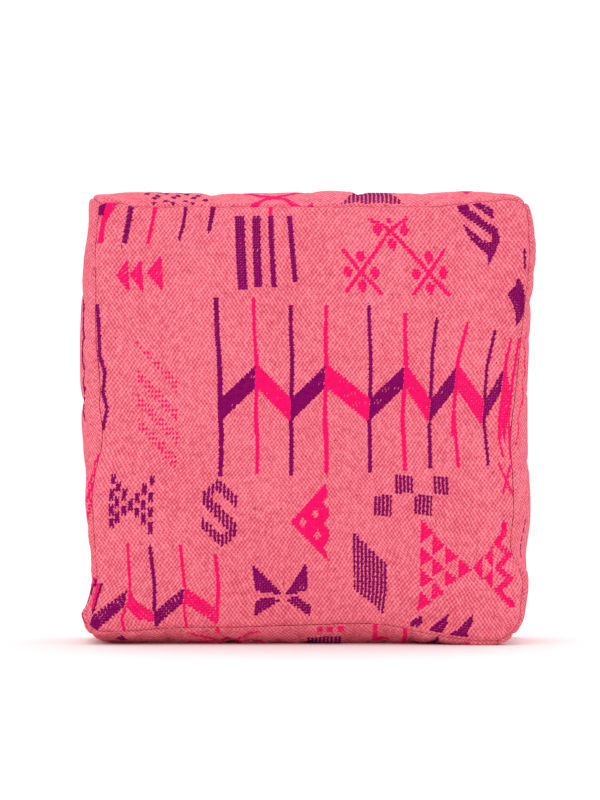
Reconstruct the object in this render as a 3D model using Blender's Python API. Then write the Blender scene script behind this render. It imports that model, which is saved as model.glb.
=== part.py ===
"""Boxed floor cushion: a kilim cover of sewn panels with a zip across its back, and a foam pad in a liner.

The cushion stands on its lower boxing strip. X runs along the face, Y through the depth with the
face towards -Y, and Z up. The origin is the middle of the bounding box, at floor level. Metres.

Every soft piece is laid out in a straight box, where its seams are straight lines, and then
cushioned() moves its points to the stuffed shape: seams drawn in between the corners, boxing strips
swelling past them, a crowned face, a back pressed flat and an underside pressed flat on the floor.
"""

from math import sqrt, tan, pi

import bmesh
import bpy
from mathutils import Vector

# Cover, in the straight box: half sizes from the middle to the seams.
FACE_HALF = 0.297
DEPTH_HALF = 0.095
# Stuffed shape.
SEAM_PULL = 0.017  # how far a seam's middle is drawn in from the line between its corners
STRIP_SWELL = 0.030  # how far a strip's middle stands out past its seams
STRIP_END_SWELL = 0.005  # the same at the strip's ends
SWELL_POWER = 2.5
FACE_CROWN = 0.030
FACE_POWER = 2.4
BACK_CROWN = 0.034
BACK_POWER = 6.0
BACK_FLAT = 0.011  # the back's flat, past its seams
FLOOR_PAST = 0.007  # the underside's flat, past its seams' corners
# Cloth.
KILIM = 0.0025
CANVAS = 0.0015
ALLOWANCE = 0.012  # seam allowance, turned in at 45 degrees
SEAM_GAP = 0.0010  # between the two allowances of a seam
HEM = 0.012  # fold along the zip
THREAD = 0.0006  # radius of the thread over the raw edges
THREAD_GAP = 0.0007  # from the raw edges to that thread
CORNER_THREAD_GAP = 0.0024  # from a corner's thread to the rings at its ends
CONTACT_GAP = 0.0003
# Grid lines, which all panels share, so that neighbours stay parallel: two from each edge, one to
# each side of the middle and even cells between.
EDGE_LINE = 0.020
SHOULDER_LINE = 0.045
MIDDLE_LINE = 0.020
HALF_CELLS = 3
STRIP_CELLS = 6
# Pad.
LINER_GAP = 0.0018
LINER_FACE_GAP = 0.0038  # behind the crowned face
LINER = 0.0008
LINER_RADIUS = 0.026
LAYER_GAP = 0.0004
LINER_THREAD = 0.0004  # radius
WADDING = 0.015
WADDING_SPLIT = 0.0020  # between its halves, where the liner's thread runs
PAD_CELLS = 9
# Zip, centred on the back's flat and closed towards +X.
ZIP_GAP_HALF = 0.0065  # from the zip's middle to each fold
ZIP_END_GAP = 0.0003  # the same past the zip's ends, where the folds meet
ZIP_TO_SEAM = 0.047  # from the tapes' ends to the side seams
TAPE_TAIL = 0.028  # tape past the coils' ends
TAPE_WIDTH = 0.016
TAPE = 0.0008
COIL_WIDTH = 0.0024
COIL_HEIGHT = 0.0020
COIL_BEVEL = 0.00048
COIL_SPLIT = 0.0014  # between the two coils and between the two tapes
STOP_LENGTH = 0.004
STOP_BEVEL = 0.00033
SLIDER_LENGTH = 0.010
SLIDER_PLATE = 0.0009
SLIDER_WALL = 0.0008
SLIDER_CLEAR = 0.0003
SLIDER_STOP_GAP = 0.001
BAIL_WIDTH = 0.0016
BAIL_THICK = 0.0008
BAIL_INSIDE = 0.0040  # length of the opening under the bail
PULL_THICK = 0.0012
PULL_EYE = 0.0050
PULL_ARM = 0.0016
PULL_SIDE_GAP = 0.0005
PULL_TAB = 0.020
PULL_END_HALF = 0.0022
TOPSTITCH_OFF = 0.004  # from each fold to its row of stitches
TOPSTITCH = 0.0004  # radius

FLOOR_FLAT = FACE_HALF + FLOOR_PAST  # from the middle down to the underside's flat
TAPE_HALF = FACE_HALF - ZIP_TO_SEAM
CHAIN_HALF = TAPE_HALF - TAPE_TAIL

# How deep each piece of the zip lies under the back's flat, and how far its slider stands out of it.
COIL_DEPTH = 2 * CANVAS
TAPE_DEPTH = COIL_DEPTH + CONTACT_GAP
ZIP_DEPTH = TAPE_DEPTH + TAPE + SLIDER_CLEAR + SLIDER_PLATE
PLATE_PROUD = SLIDER_PLATE + SLIDER_CLEAR + COIL_HEIGHT - COIL_DEPTH
PULL_REACH = PULL_THICK / sqrt(2)  # from the pull's pivot to its crossbar's edges
PIVOT_PROUD = PLATE_PROUD + SLIDER_CLEAR + PULL_REACH
BAIL_UNDERSIDE = PIVOT_PROUD + PULL_REACH + SLIDER_CLEAR
BAIL_PROUD = BAIL_UNDERSIDE + BAIL_THICK
# Across and along the zip.
CHAIN_EDGE = COIL_SPLIT / 2 + COIL_WIDTH
SLIDER_EDGE = CHAIN_EDGE + SLIDER_CLEAR + SLIDER_WALL
SLIDER_REST = CHAIN_HALF - SLIDER_STOP_GAP - SLIDER_LENGTH / 2

DEPTH_SHIFT = (FACE_CROWN - BACK_FLAT - BAIL_PROUD) / 2
BACK_PLANE = DEPTH_HALF + BACK_FLAT + DEPTH_SHIFT
ZIP_HEIGHT = FLOOR_FLAT

X, Y, Z = Vector((1, 0, 0)), Vector((0, 1, 0)), Vector((0, 0, 1))


def clear_scene():
    for obj in list(bpy.data.objects):
        bpy.data.objects.remove(obj, do_unlink=True)


def principled(name, colour, roughness, metallic=0.0):
    material = bpy.data.materials.new(name)
    material.use_nodes = True
    shader = material.node_tree.nodes["Principled BSDF"]
    shader.inputs["Base Color"].default_value = (*colour, 1.0)
    shader.inputs["Roughness"].default_value = roughness
    shader.inputs["Metallic"].default_value = metallic
    material.diffuse_color = (*colour, 1.0)
    return material


# The stuffed shape.


def eased(share):
    """0 at the middle and 1 at the edge, level at the edge, so that a layer keeps its thickness there."""
    share = abs(share)
    return share * (2 - share)


def edge_reach(along, depth):
    """Half size of the cover at a share along an edge and a share through the depth, both -1 to 1."""
    middle = 1 - along**2
    swell = STRIP_END_SWELL + (STRIP_SWELL - STRIP_END_SWELL) * middle
    return FACE_HALF - SEAM_PULL * middle + swell * (1 - abs(depth) ** SWELL_POWER)


def crown(u, v, height, power):
    return height * (1 - abs(u) ** power) * (1 - abs(v) ** power)


def signed(value, share):
    return value if share >= 0 else -value


def cushioned(point):
    """The stuffed place of a point in the straight box."""
    u, s, v = point.x / FACE_HALF, point.y / DEPTH_HALF, point.z / FACE_HALF
    x = point.x + signed((edge_reach(v, s) - FACE_HALF) * eased(u), u)
    z = point.z + signed((edge_reach(u, s) - FACE_HALF) * eased(v), v)
    if s < 0:
        y = point.y - crown(u, v, FACE_CROWN, FACE_POWER) * eased(s)
    else:
        y = point.y + min(crown(u, v, BACK_CROWN, BACK_POWER) * eased(s), BACK_FLAT)
    z = max(z, point.z + FACE_HALF - FLOOR_FLAT)
    return Vector((x, y + DEPTH_SHIFT, z + FLOOR_FLAT))


# Builders.


def face_outwards(bm):
    bmesh.ops.recalc_face_normals(bm, faces=bm.faces)
    if bm.calc_volume(signed=True) < 0:
        bmesh.ops.reverse_faces(bm, faces=bm.faces)


def add(name, bm, material):
    face_outwards(bm)
    mesh = bpy.data.meshes.new(name)
    bm.to_mesh(mesh)
    bm.free()
    mesh.shade_smooth()
    mesh.set_sharp_from_angle(angle=pi / 6)
    return add_mesh(name, mesh, material)


def add_mesh(name, mesh, material):
    obj = bpy.data.objects.new(name, mesh)
    mesh.materials.clear()
    mesh.materials.append(material)
    PARTS.objects.link(obj)
    return obj


def lines(low, high, cells, low_margins, high_margins):
    """Grid lines from low to high: the margins' lines at each end, and even cells between them."""
    start = [low] + [low + m for m in low_margins]
    end = [high - m for m in reversed(high_margins)] + [high]
    step = (end[0] - start[-1]) / cells
    return start + [start[-1] + step * n for n in range(1, cells)] + end


def grid_cells(bm, columns, rows):
    """A grid whose points are whole numbers: column, row and 0."""
    made = bmesh.ops.create_grid(bm, x_segments=columns, y_segments=rows, size=1)
    for vert in made["verts"]:
        vert.co = (round((vert.co.x + 1) / 2 * columns), round((vert.co.y + 1) / 2 * rows), 0)


SEAM, FOLD = "seam", "fold"


def edge_depths(kind, cloth):
    """Depth under the panel's face of its edge's outline: face, tip's outer and inner corner, back."""
    if kind == FOLD:
        return 0, 2 * cloth, 2 * cloth, cloth
    tip = ALLOWANCE / sqrt(2)
    return 0, tip, tip - cloth / sqrt(2), cloth


def edge_inset(kind, cloth, station, depth):
    """How far inside the panel's edge that outline lies, at its depth. An allowance leans in at 45 degrees."""
    inner = station >= 2
    if kind == FOLD:
        return HEM if inner else 0
    return SEAM_GAP / sqrt(2) + depth + (cloth * sqrt(2) if inner else 0)


def panel(name, material, cloth, place, columns, rows, edges, row_limit=None):
    """A cloth panel with its allowances or folds turned in along its four edges.

    place gives the point in the straight box for a distance along the columns, along the rows and
    inwards. edges are the kinds at the low and high columns, then at the low and high rows.
    row_limit moves the last row's line nearer for a point of a column.
    """
    bm = bmesh.new()
    last = len(columns) - 1, len(rows) - 1
    grid_cells(bm, *last)
    inside = bmesh.ops.duplicate(bm, geom=bm.verts[:] + bm.edges[:] + bm.faces[:])["geom"]
    inside_verts = [item for item in inside if isinstance(item, bmesh.types.BMVert)]
    rim = [e for e in bm.edges if e.is_boundary and e.verts[0] not in set(inside_verts)]
    bmesh.ops.translate(bm, verts=inside_verts, vec=(0, 0, 3))
    for _ in range(3):
        grown = bmesh.ops.extrude_edge_only(bm, edges=rim)["geom"]
        rim = [item for item in grown if isinstance(item, bmesh.types.BMEdge) and item.is_boundary]
        fresh = [item for item in grown if isinstance(item, bmesh.types.BMVert)]
        bmesh.ops.translate(bm, verts=fresh, vec=(0, 0, 1))
    bmesh.ops.remove_doubles(bm, verts=bm.verts, dist=0.1)
    for vert in bm.verts:
        column, row, station = (round(c) for c in vert.co)
        a, b = columns[column], rows[row]
        if row_limit and row == last[1]:
            b = row_limit(a)
        on = [
            (edges[0], 1, 0) if column == 0 else (edges[1], -1, 0) if column == last[0] else None,
            (edges[2], 1, 1) if row == 0 else (edges[3], -1, 1) if row == last[1] else None,
        ]
        on = [side for side in on if side]
        depth = min((edge_depths(kind, cloth)[station] for kind, _, _ in on), default=min(station, 1) * cloth)
        moved = [a, b]
        for kind, sign, axis in on:
            moved[axis] += sign * edge_inset(kind, cloth, station, depth)
        vert.co = cushioned(place(*moved, depth))
    return add(name, bm, material)


class PadLayer:
    """The rounded box, in the straight box, at a distance inside the liner's outer face."""

    def __init__(self, inset):
        sides = FACE_HALF - KILIM - LINER_GAP - inset
        front = -DEPTH_HALF + KILIM + LINER_FACE_GAP + inset
        back = DEPTH_HALF - ZIP_DEPTH - LINER_GAP - inset
        self.half = Vector((sides, (back - front) / 2, sides))
        self.middle = Vector((0, (back + front) / 2, 0))
        self.radius = LINER_RADIUS - inset
        arc = self.radius * (1 - tan(pi / 8))
        margins = arc, self.radius
        self.lines = [lines(-h, h, PAD_CELLS - 2 * len(margins), margins, margins) for h in self.half]

    def rounded(self, flat):
        """The place on the rounded box of a point on its flat sides, both counted from its middle."""
        core = [max(self.radius - h, min(h - self.radius, c)) for c, h in zip(flat, self.half, strict=True)]
        return self.middle + Vector(core) + (flat - Vector(core)).normalized() * self.radius

    def grid(self, bm):
        bmesh.ops.create_cube(bm, size=2)
        bmesh.ops.subdivide_edges(bm, edges=bm.edges, cuts=PAD_CELLS - 1, use_grid_fill=True)
        for vert in bm.verts:
            index = [round((c + 1) / 2 * PAD_CELLS) for c in vert.co]
            vert.co = self.rounded(Vector([line[i] for line, i in zip(self.lines, index, strict=True)]))

    def ring(self):
        """Points round its sides at mid depth."""
        across, wide = self.lines[0], self.half.x
        y = -self.middle.y
        ring = [Vector((a, y, -wide)) for a in across[:-1]]
        ring += [Vector((wide, y, a)) for a in across[:-1]]
        ring += [Vector((-a, y, wide)) for a in across[:-1]]
        ring += [Vector((-wide, y, -a)) for a in across[:-1]]
        return [self.rounded(point) for point in ring]


def half_shell(name, material, inset, thickness, side, split):
    """One of two trays that meet at mid depth. side is -1 for the front and 1 for the back."""
    bm = bmesh.new()
    loops = []
    for layer in (inset, inset + thickness):
        part = bmesh.new()
        PadLayer(layer).grid(part)
        bmesh.ops.bisect_plane(
            part,
            geom=part.verts[:] + part.edges[:] + part.faces[:],
            plane_co=(0, side * split / 2, 0),
            plane_no=(0, -side, 0),
            clear_outer=True,
        )
        if layer > inset:
            bmesh.ops.reverse_faces(part, faces=part.faces[:])
        mesh = bpy.data.meshes.new(name)
        part.to_mesh(mesh)
        part.free()
        before = set(bm.edges)
        bm.from_mesh(mesh)
        bpy.data.meshes.remove(mesh)
        loops += [e for e in bm.edges if e not in before and e.is_boundary]
    bmesh.ops.bridge_loops(bm, edges=loops)
    for vert in bm.verts:
        vert.co = cushioned(vert.co)
    return add(name, bm, material)


def curve_tube(name, material, points, radius, closed):
    """A round thread along points, as a curve with a bevel."""
    curve = bpy.data.curves.new(name, "CURVE")
    curve.dimensions = "3D"
    curve.bevel_depth = radius
    curve.bevel_resolution = 1
    curve.use_fill_caps = True
    spline = curve.splines.new("POLY")
    spline.points.add(len(points) - 1)
    for knot, point in zip(spline.points, points, strict=True):
        knot.co = (*point, 1)
    spline.use_cyclic_u = closed
    return add_mesh(name, curve, material)


def block(name, material, low, high, bevel=0.0):
    bm = bmesh.new()
    bmesh.ops.create_cube(bm, size=1)
    low, high = Vector(low), Vector(high)
    for vert in bm.verts:
        vert.co = Vector([low[i] if vert.co[i] < 0 else high[i] for i in range(3)])
    if bevel:
        bmesh.ops.bevel(bm, geom=bm.edges[:], offset=bevel, segments=1, affect="EDGES")
    return add(name, bm, material)


def flat_shape(name, outlines, thickness, axes):
    """A mesh of flat outlines, the later ones being holes, as thick to both sides of their plane.

    axes are the directions of an outline's first and second number and of the thickness.
    """
    curve = bpy.data.curves.new(name, "CURVE")
    curve.dimensions = "2D"
    curve.fill_mode = "BOTH"
    curve.extrude = thickness / 2
    for outline in outlines:
        spline = curve.splines.new("POLY")
        spline.points.add(len(outline) - 1)
        for knot, (x, y) in zip(spline.points, outline, strict=True):
            knot.co = (x, y, 0, 1)
        spline.use_cyclic_u = True
    helper = bpy.data.objects.new(name, curve)
    PARTS.objects.link(helper)
    graph = bpy.context.evaluated_depsgraph_get()
    mesh = bpy.data.meshes.new_from_object(helper.evaluated_get(graph))
    bpy.data.objects.remove(helper)
    bpy.data.curves.remove(curve)
    bm = bmesh.new()
    bm.from_mesh(mesh)
    bmesh.ops.remove_doubles(bm, verts=bm.verts, dist=1e-6)
    for vert in bm.verts:
        vert.co = sum((axis * c for axis, c in zip(axes, vert.co, strict=True)), Vector())
    face_outwards(bm)
    bm.to_mesh(mesh)
    bm.free()
    mesh.name = name
    return mesh


# Cover.

HALF_LINES = lines(-FACE_HALF, -MIDDLE_LINE, HALF_CELLS, (EDGE_LINE, SHOULDER_LINE), ())
FACE_LINES = HALF_LINES + [-line for line in reversed(HALF_LINES)]
STRIP_LINES = lines(-DEPTH_HALF, DEPTH_HALF, STRIP_CELLS, (EDGE_LINE,), (EDGE_LINE,))
ALL_SEAMS = (SEAM, SEAM, SEAM, SEAM)


def front_panel():
    def place(a, b, depth):
        return X * a + Z * b + Y * (depth - DEPTH_HALF)

    panel("front_panel", KILIM_FACE, KILIM, place, FACE_LINES, FACE_LINES, ALL_SEAMS)


def boxing_strips():
    sides = (("boxing_top", X, Z), ("boxing_bottom", X, -Z), ("boxing_left", Z, -X), ("boxing_right", Z, X))
    for name, along, out in sides:

        def place(a, b, depth, along=along, out=out):
            return along * a + Y * b + out * (FACE_HALF - depth)

        panel(name, KILIM_STRIP, KILIM, place, FACE_LINES, STRIP_LINES, ALL_SEAMS)


def zip_fold_line(a):
    """Distance of the fold from the zip's middle: open along the zip, closed past its ends."""
    open_to, shut_from = FACE_HALF - SHOULDER_LINE, FACE_HALF - EDGE_LINE
    share = min(1, max(0, (abs(a) - open_to) / (shut_from - open_to)))
    return ZIP_GAP_HALF + (ZIP_END_GAP - ZIP_GAP_HALF) * share


def back_panels():
    for name, up in (("back_panel_upper", -1), ("back_panel_lower", 1)):

        def place(a, b, depth, up=up):
            return X * a + Z * (up * b) + Y * (DEPTH_HALF - depth)

        def limit(a):
            return -zip_fold_line(a)

        rows = HALF_LINES + [0]
        panel(name, CANVAS_BACK, CANVAS, place, FACE_LINES, rows, (SEAM, SEAM, SEAM, FOLD), limit)


def seam_threads():
    """The overlocking along the allowances' raw edges: a ring at each face and a run at each corner."""
    inset = (ALLOWANCE + THREAD_GAP + THREAD) / sqrt(2)
    reach = [max(-FACE_HALF + inset, min(FACE_HALF - inset, line)) for line in FACE_LINES]
    edge = reach[-1]
    for name, depth in (("front_seam_thread", inset - DEPTH_HALF), ("back_seam_thread", DEPTH_HALF - inset)):
        ring = [Vector((a, depth, -edge)) for a in reach[:-1]]
        ring += [Vector((edge, depth, a)) for a in reach[:-1]]
        ring += [Vector((-a, depth, edge)) for a in reach[:-1]]
        ring += [Vector((-edge, depth, -a)) for a in reach[:-1]]
        curve_tube(name, THREAD_PINK, [cushioned(p) for p in ring], THREAD, True)
    end = DEPTH_HALF - inset - CORNER_THREAD_GAP
    run = [max(-end, min(end, line)) for line in STRIP_LINES]
    for name, right, up in (("top_left", -1, 1), ("top_right", 1, 1), ("bottom_left", -1, -1), ("bottom_right", 1, -1)):
        points = [cushioned(Vector((right * edge, b, up * edge))) for b in run]
        curve_tube(f"corner_seam_thread_{name}", THREAD_PINK, points, THREAD, False)


# Pad.


def pad():
    for half, side in (("front", -1), ("back", 1)):
        half_shell(f"liner_{half}", CALICO, 0, LINER, side, LAYER_GAP)
        half_shell(f"wadding_{half}", WADDING_WHITE, LINER + LAYER_GAP, WADDING, side, WADDING_SPLIT)
    closing = PadLayer(LINER + CONTACT_GAP + LINER_THREAD)
    ring = [cushioned(point) for point in closing.ring()]
    curve_tube("liner_seam_thread", CALICO, ring, LINER_THREAD, True)
    bm = bmesh.new()
    PadLayer(LINER + LAYER_GAP + WADDING + LAYER_GAP).grid(bm)
    for vert in bm.verts:
        vert.co = cushioned(vert.co)
    add("foam_core", bm, FOAM)


# Zip. Its pieces are placed by their depth under the back's flat.


def at_back(x, depth, z):
    return x, BACK_PLANE - depth, ZIP_HEIGHT + z


def tapes_and_coils():
    for name, up in (("upper", 1), ("lower", -1)):
        z = sorted((up * COIL_SPLIT / 2, up * (COIL_SPLIT / 2 + TAPE_WIDTH)))
        low, high = at_back(-TAPE_HALF, TAPE_DEPTH + TAPE, z[0]), at_back(TAPE_HALF, TAPE_DEPTH, z[1])
        block(f"zip_tape_{name}", TAPE_RED, low, high)
        z = sorted((up * COIL_SPLIT / 2, up * CHAIN_EDGE))
        low = at_back(-CHAIN_HALF, COIL_DEPTH, z[0])
        high = at_back(CHAIN_HALF, COIL_DEPTH - COIL_HEIGHT, z[1])
        block(f"zip_coil_{name}", COIL_NYLON, low, high, COIL_BEVEL)
        start = CHAIN_HALF + CONTACT_GAP
        low = at_back(start, COIL_DEPTH, z[0])
        high = at_back(start + STOP_LENGTH, COIL_DEPTH - COIL_HEIGHT, z[1])
        block(f"zip_top_stop_{name}", ZIP_METAL, low, high, STOP_BEVEL)
    start = -CHAIN_HALF - CONTACT_GAP
    low = at_back(start - STOP_LENGTH, COIL_DEPTH, -CHAIN_EDGE)
    high = at_back(start, COIL_DEPTH - COIL_HEIGHT, CHAIN_EDGE)
    block("zip_bottom_stop", ZIP_METAL, low, high, STOP_BEVEL)


def slider():
    """A section of two plates, a post between them and two lips round the coils, with a bail on top."""
    out = -PLATE_PROUD, -PLATE_PROUD + SLIDER_PLATE
    under = ZIP_DEPTH - SLIDER_PLATE, ZIP_DEPTH
    lip = TAPE_DEPTH - SLIDER_CLEAR
    post = COIL_SPLIT / 2 - SLIDER_CLEAR
    half = [
        (out[0], SLIDER_EDGE),
        (lip, SLIDER_EDGE),
        (lip, SLIDER_EDGE - SLIDER_WALL),
        (out[1], SLIDER_EDGE - SLIDER_WALL),
        (out[1], post),
        (under[0], post),
        (under[0], SLIDER_EDGE),
        (under[1], SLIDER_EDGE),
    ]
    section = half + [(depth, -z) for depth, z in reversed(half)]
    body = flat_shape("zip_slider", [section], SLIDER_LENGTH, (-Y, Z, X))
    foot, top = BAIL_INSIDE / 2 + BAIL_THICK, BAIL_UNDERSIDE
    sunk = PLATE_PROUD - SLIDER_PLATE / 2
    arch = [
        (-foot, sunk),
        (-foot, top),
        (-foot + BAIL_THICK, BAIL_PROUD),
        (foot - BAIL_THICK, BAIL_PROUD),
        (foot, top),
        (foot, sunk),
        (foot - BAIL_THICK, sunk),
        (foot - BAIL_THICK, top),
        (-foot + BAIL_THICK, top),
        (-foot + BAIL_THICK, sunk),
    ]
    bail_mesh = flat_shape("slider_bail", [arch], BAIL_WIDTH, (X, Y, Z))
    bail = bpy.data.objects.new("slider_bail", bail_mesh)
    HELPERS.objects.link(bail)
    bail.hide_render = True
    bail.display_type = "WIRE"
    obj = add_mesh("zip_slider", body, ZIP_METAL)
    for item in (obj, bail):
        item.location = at_back(SLIDER_REST, 0, 0)
    join = obj.modifiers.new("bail", "BOOLEAN")
    join.operation = "UNION"
    join.solver = "MANIFOLD"
    join.object = bail


def pull():
    """A tab with an eye round the bail. It lies along -X, and its crossbar is the hinge pin."""
    bar = PULL_THICK / 2
    eye = BAIL_WIDTH / 2 + PULL_SIDE_GAP
    side = eye + PULL_ARM
    neck = bar + PULL_EYE
    end = neck + PULL_TAB
    round_off = PULL_ARM / 2
    outline = [
        (bar, -side + round_off),
        (bar, side - round_off),
        (bar - round_off, side),
        (-neck, side),
        (-end + round_off, PULL_END_HALF),
        (-end, PULL_END_HALF - round_off),
        (-end, -PULL_END_HALF + round_off),
        (-end + round_off, -PULL_END_HALF),
        (-neck, -side),
        (bar - round_off, -side),
    ]
    hole = [(-bar, -eye), (-bar, eye), (-neck, eye), (-neck, -eye)]
    mesh = flat_shape("zip_pull", [outline, hole], PULL_THICK, (X, Z, Y))
    obj = add_mesh("zip_pull", mesh, ZIP_METAL)
    obj.location = at_back(SLIDER_REST, -PIVOT_PROUD, 0)


def topstitch():
    x, z = TAPE_HALF - HEM / 2, ZIP_GAP_HALF + TOPSTITCH_OFF
    depth = -CONTACT_GAP - TOPSTITCH
    corners = [at_back(sx * x, depth, sz * z) for sx, sz in ((-1, -1), (1, -1), (1, 1), (-1, 1))]
    curve_tube("zip_topstitch", THREAD_PINK, corners, TOPSTITCH, True)


clear_scene()
PARTS = bpy.data.collections.new("floor_cushion")
HELPERS = bpy.data.collections.new("helpers")
for group in (PARTS, HELPERS):
    bpy.context.scene.collection.children.link(group)

KILIM_FACE = principled("kilim_face", (0.87, 0.16, 0.22), 0.9)
KILIM_STRIP = principled("kilim_strip", (0.80, 0.14, 0.20), 0.9)
CANVAS_BACK = principled("canvas_back", (0.80, 0.17, 0.22), 0.85)
THREAD_PINK = principled("thread", (0.75, 0.10, 0.17), 0.6)
CALICO = principled("calico", (0.78, 0.74, 0.66), 0.85)
WADDING_WHITE = principled("wadding", (0.86, 0.86, 0.84), 0.95)
FOAM = principled("foam", (0.80, 0.76, 0.55), 0.9)
TAPE_RED = principled("zip_tape", (0.66, 0.07, 0.13), 0.8)
COIL_NYLON = principled("zip_coil", (0.62, 0.06, 0.12), 0.4)
ZIP_METAL = principled("zip_metal", (0.62, 0.60, 0.57), 0.35, 1.0)

front_panel()
boxing_strips()
back_panels()
seam_threads()
pad()
tapes_and_coils()
slider()
pull()
topstitch()
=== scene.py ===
"""The look of the boxed floor cushion: stuffed kilim panels with their brocade, the back with its zip,
and the pad inside.

The cover follows the frame's stuffed shape. A cloth simulation with pressure gives it its slight
unevenness, the seams are rolled in, and the brocade is raised yarn laid out on a grid of threads.
"""

from math import cos, floor, pi, sin

import bpy
import numpy as np
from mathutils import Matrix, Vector


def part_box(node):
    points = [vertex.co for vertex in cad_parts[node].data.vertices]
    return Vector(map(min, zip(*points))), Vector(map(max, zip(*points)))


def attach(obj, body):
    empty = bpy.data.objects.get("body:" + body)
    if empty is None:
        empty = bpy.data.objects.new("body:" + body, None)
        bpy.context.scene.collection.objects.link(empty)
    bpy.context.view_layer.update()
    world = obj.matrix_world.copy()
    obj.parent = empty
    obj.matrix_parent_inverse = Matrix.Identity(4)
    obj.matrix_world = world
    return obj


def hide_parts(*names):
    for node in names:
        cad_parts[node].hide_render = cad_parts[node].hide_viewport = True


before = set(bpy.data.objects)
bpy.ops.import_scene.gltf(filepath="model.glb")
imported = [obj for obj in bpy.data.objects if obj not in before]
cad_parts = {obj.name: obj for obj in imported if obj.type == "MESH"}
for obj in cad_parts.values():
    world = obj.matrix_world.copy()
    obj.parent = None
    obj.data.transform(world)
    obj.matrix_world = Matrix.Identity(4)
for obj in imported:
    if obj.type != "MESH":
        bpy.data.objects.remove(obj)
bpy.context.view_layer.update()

# The stuffed shape, as the frame has it, in metres.
FACE_HALF = 0.297
DEPTH_HALF = 0.095
SEAM_PULL = 0.017
STRIP_SWELL = 0.030
STRIP_END_SWELL = 0.005
SWELL_POWER = 2.5
FACE_CROWN = 0.030
FACE_POWER = 2.4
BACK_CROWN = 0.034
BACK_POWER = 6.0
BACK_FLAT = 0.011
FLOOR_FLAT = 0.304
DEPTH_SHIFT = 0.0078516
# Cloth.
KILIM = 0.0025
CANVAS = 0.0015
SEAM_GAP = 0.0005
ROLL_DEPTH = 0.0042  # how far a panel's edge is rolled in at its seam
ROLL_WIDTH = 0.0095
ROLL_POWER = 2.2
STRIP_END_ROLL = 0.35  # share of it where two strips meet
# Grid lines beside a seam.
SEAM_LINES = (0.0, 0.0007, 0.0015, 0.0026, 0.0039, 0.0055, 0.0075, 0.0105)
CELL = 0.0034  # the cover's other grid cells, at most
ZIP_GAP_HALF = 0.0065
ZIP_END = (0.2425, 0.2465)  # where the back's halves come together past the zip
ZIP_SHUT = 0.0004  # how near each comes to the middle there
ZIP_DRAWN = 0.02  # how far up each half is drawn in with its edge
PAD_CLEAR = 0.004  # from the cover's inside to the pad
# Weave.
THREADS = 216  # along a panel's long side
PITCH = 2 * FACE_HALF / THREADS
GRAIN_PERIOD, GRAIN_ROW = 2.05, 1.37  # the ground's grains along and across the panel, in threads
BROCADE_ROW = 1.25  # threads from one row of brocade to the next
SAMPLES = 4  # a figure's samples along a row, per thread
FLOAT = 2.5  # threads that one float of brocade yarn passes over
SHORTEST_RUN = 0.6  # what is narrower isn't woven
SHORTEST_FLOAT = 0.7
FLOAT_TALL = 0.86  # half of a float's height, in threads
FLOAT_SIDES = 8
SHORT = 0.04  # share of the floats that end early, so the ground shows beside them
YARN_RISE = 0.00055  # how far a brocade yarn stands out of the ground
YARN_SUNK = 0.0004
# Simulation.
SIM_FACE_CELLS = 60
SIM_STRIP_CELLS = 20
SIM_FRAMES = 20
SIM_LIMIT = 0.0055  # how far a point may move
ZIP_STILL = (0.03, 0.12)  # from the zip, where the back doesn't move and where it moves fully
# Camera, straight on to the face.
CAMERA_DISTANCE = 5.2
CAMERA_HEIGHT = 0.3303
CAMERA_ASIDE = -0.0103
CAMERA_LENS = 171

AXES = {"X": np.array((1.0, 0, 0)), "Y": np.array((0, 1.0, 0)), "Z": np.array((0, 0, 1.0))}


def eased(share):
    share = np.abs(share)
    return share * (2 - share)


def ramp(value, low, high):
    t = np.clip((value - low) / (high - low), 0, 1)
    return t * t * (3 - 2 * t)


def edge_reach(along, depth):
    middle = 1 - along**2
    swell = STRIP_END_SWELL + (STRIP_SWELL - STRIP_END_SWELL) * middle
    return FACE_HALF - SEAM_PULL * middle + swell * (1 - np.abs(depth) ** SWELL_POWER)


def crown(u, v, height, power):
    return height * (1 - np.abs(u) ** power) * (1 - np.abs(v) ** power)


# How this cushion differs from the even shape: each side's middle-depth outline and its front seam,
# as (share along the side from -1 to 1, millimetres outwards).
OUTLINE = {
    "left": ((-1, -5), (-0.91, 1), (-0.83, -10), (-0.75, -24), (-0.66, -25), (-0.55, -25), (-0.42, -21),
             (-0.32, -14), (-0.2, -6), (-0.1, -3), (0.12, 0), (0.4, 1), (0.7, -2), (0.89, -8), (1, -4)),
    "right": ((-1, -17), (-0.9, -16), (-0.78, -12), (-0.7, -9), (-0.6, -9.5), (-0.46, -5), (-0.15, -9),
              (0.1, -10), (0.3, -9), (0.5, -7), (0.68, -3), (0.76, 0), (0.9, -1), (1, -1)),
    "top": ((-1, 5), (-0.92, 1), (-0.85, 3), (-0.6, 1), (-0.4, -1), (0, 0), (0.1, 2), (0.25, 0),
            (0.5, 0), (0.68, 3), (0.8, 3), (0.95, -1), (1, -4)),
    "bottom": ((-1, -2), (-0.5, 0), (0, 0), (0.5, 0), (1, 0)),
}
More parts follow.
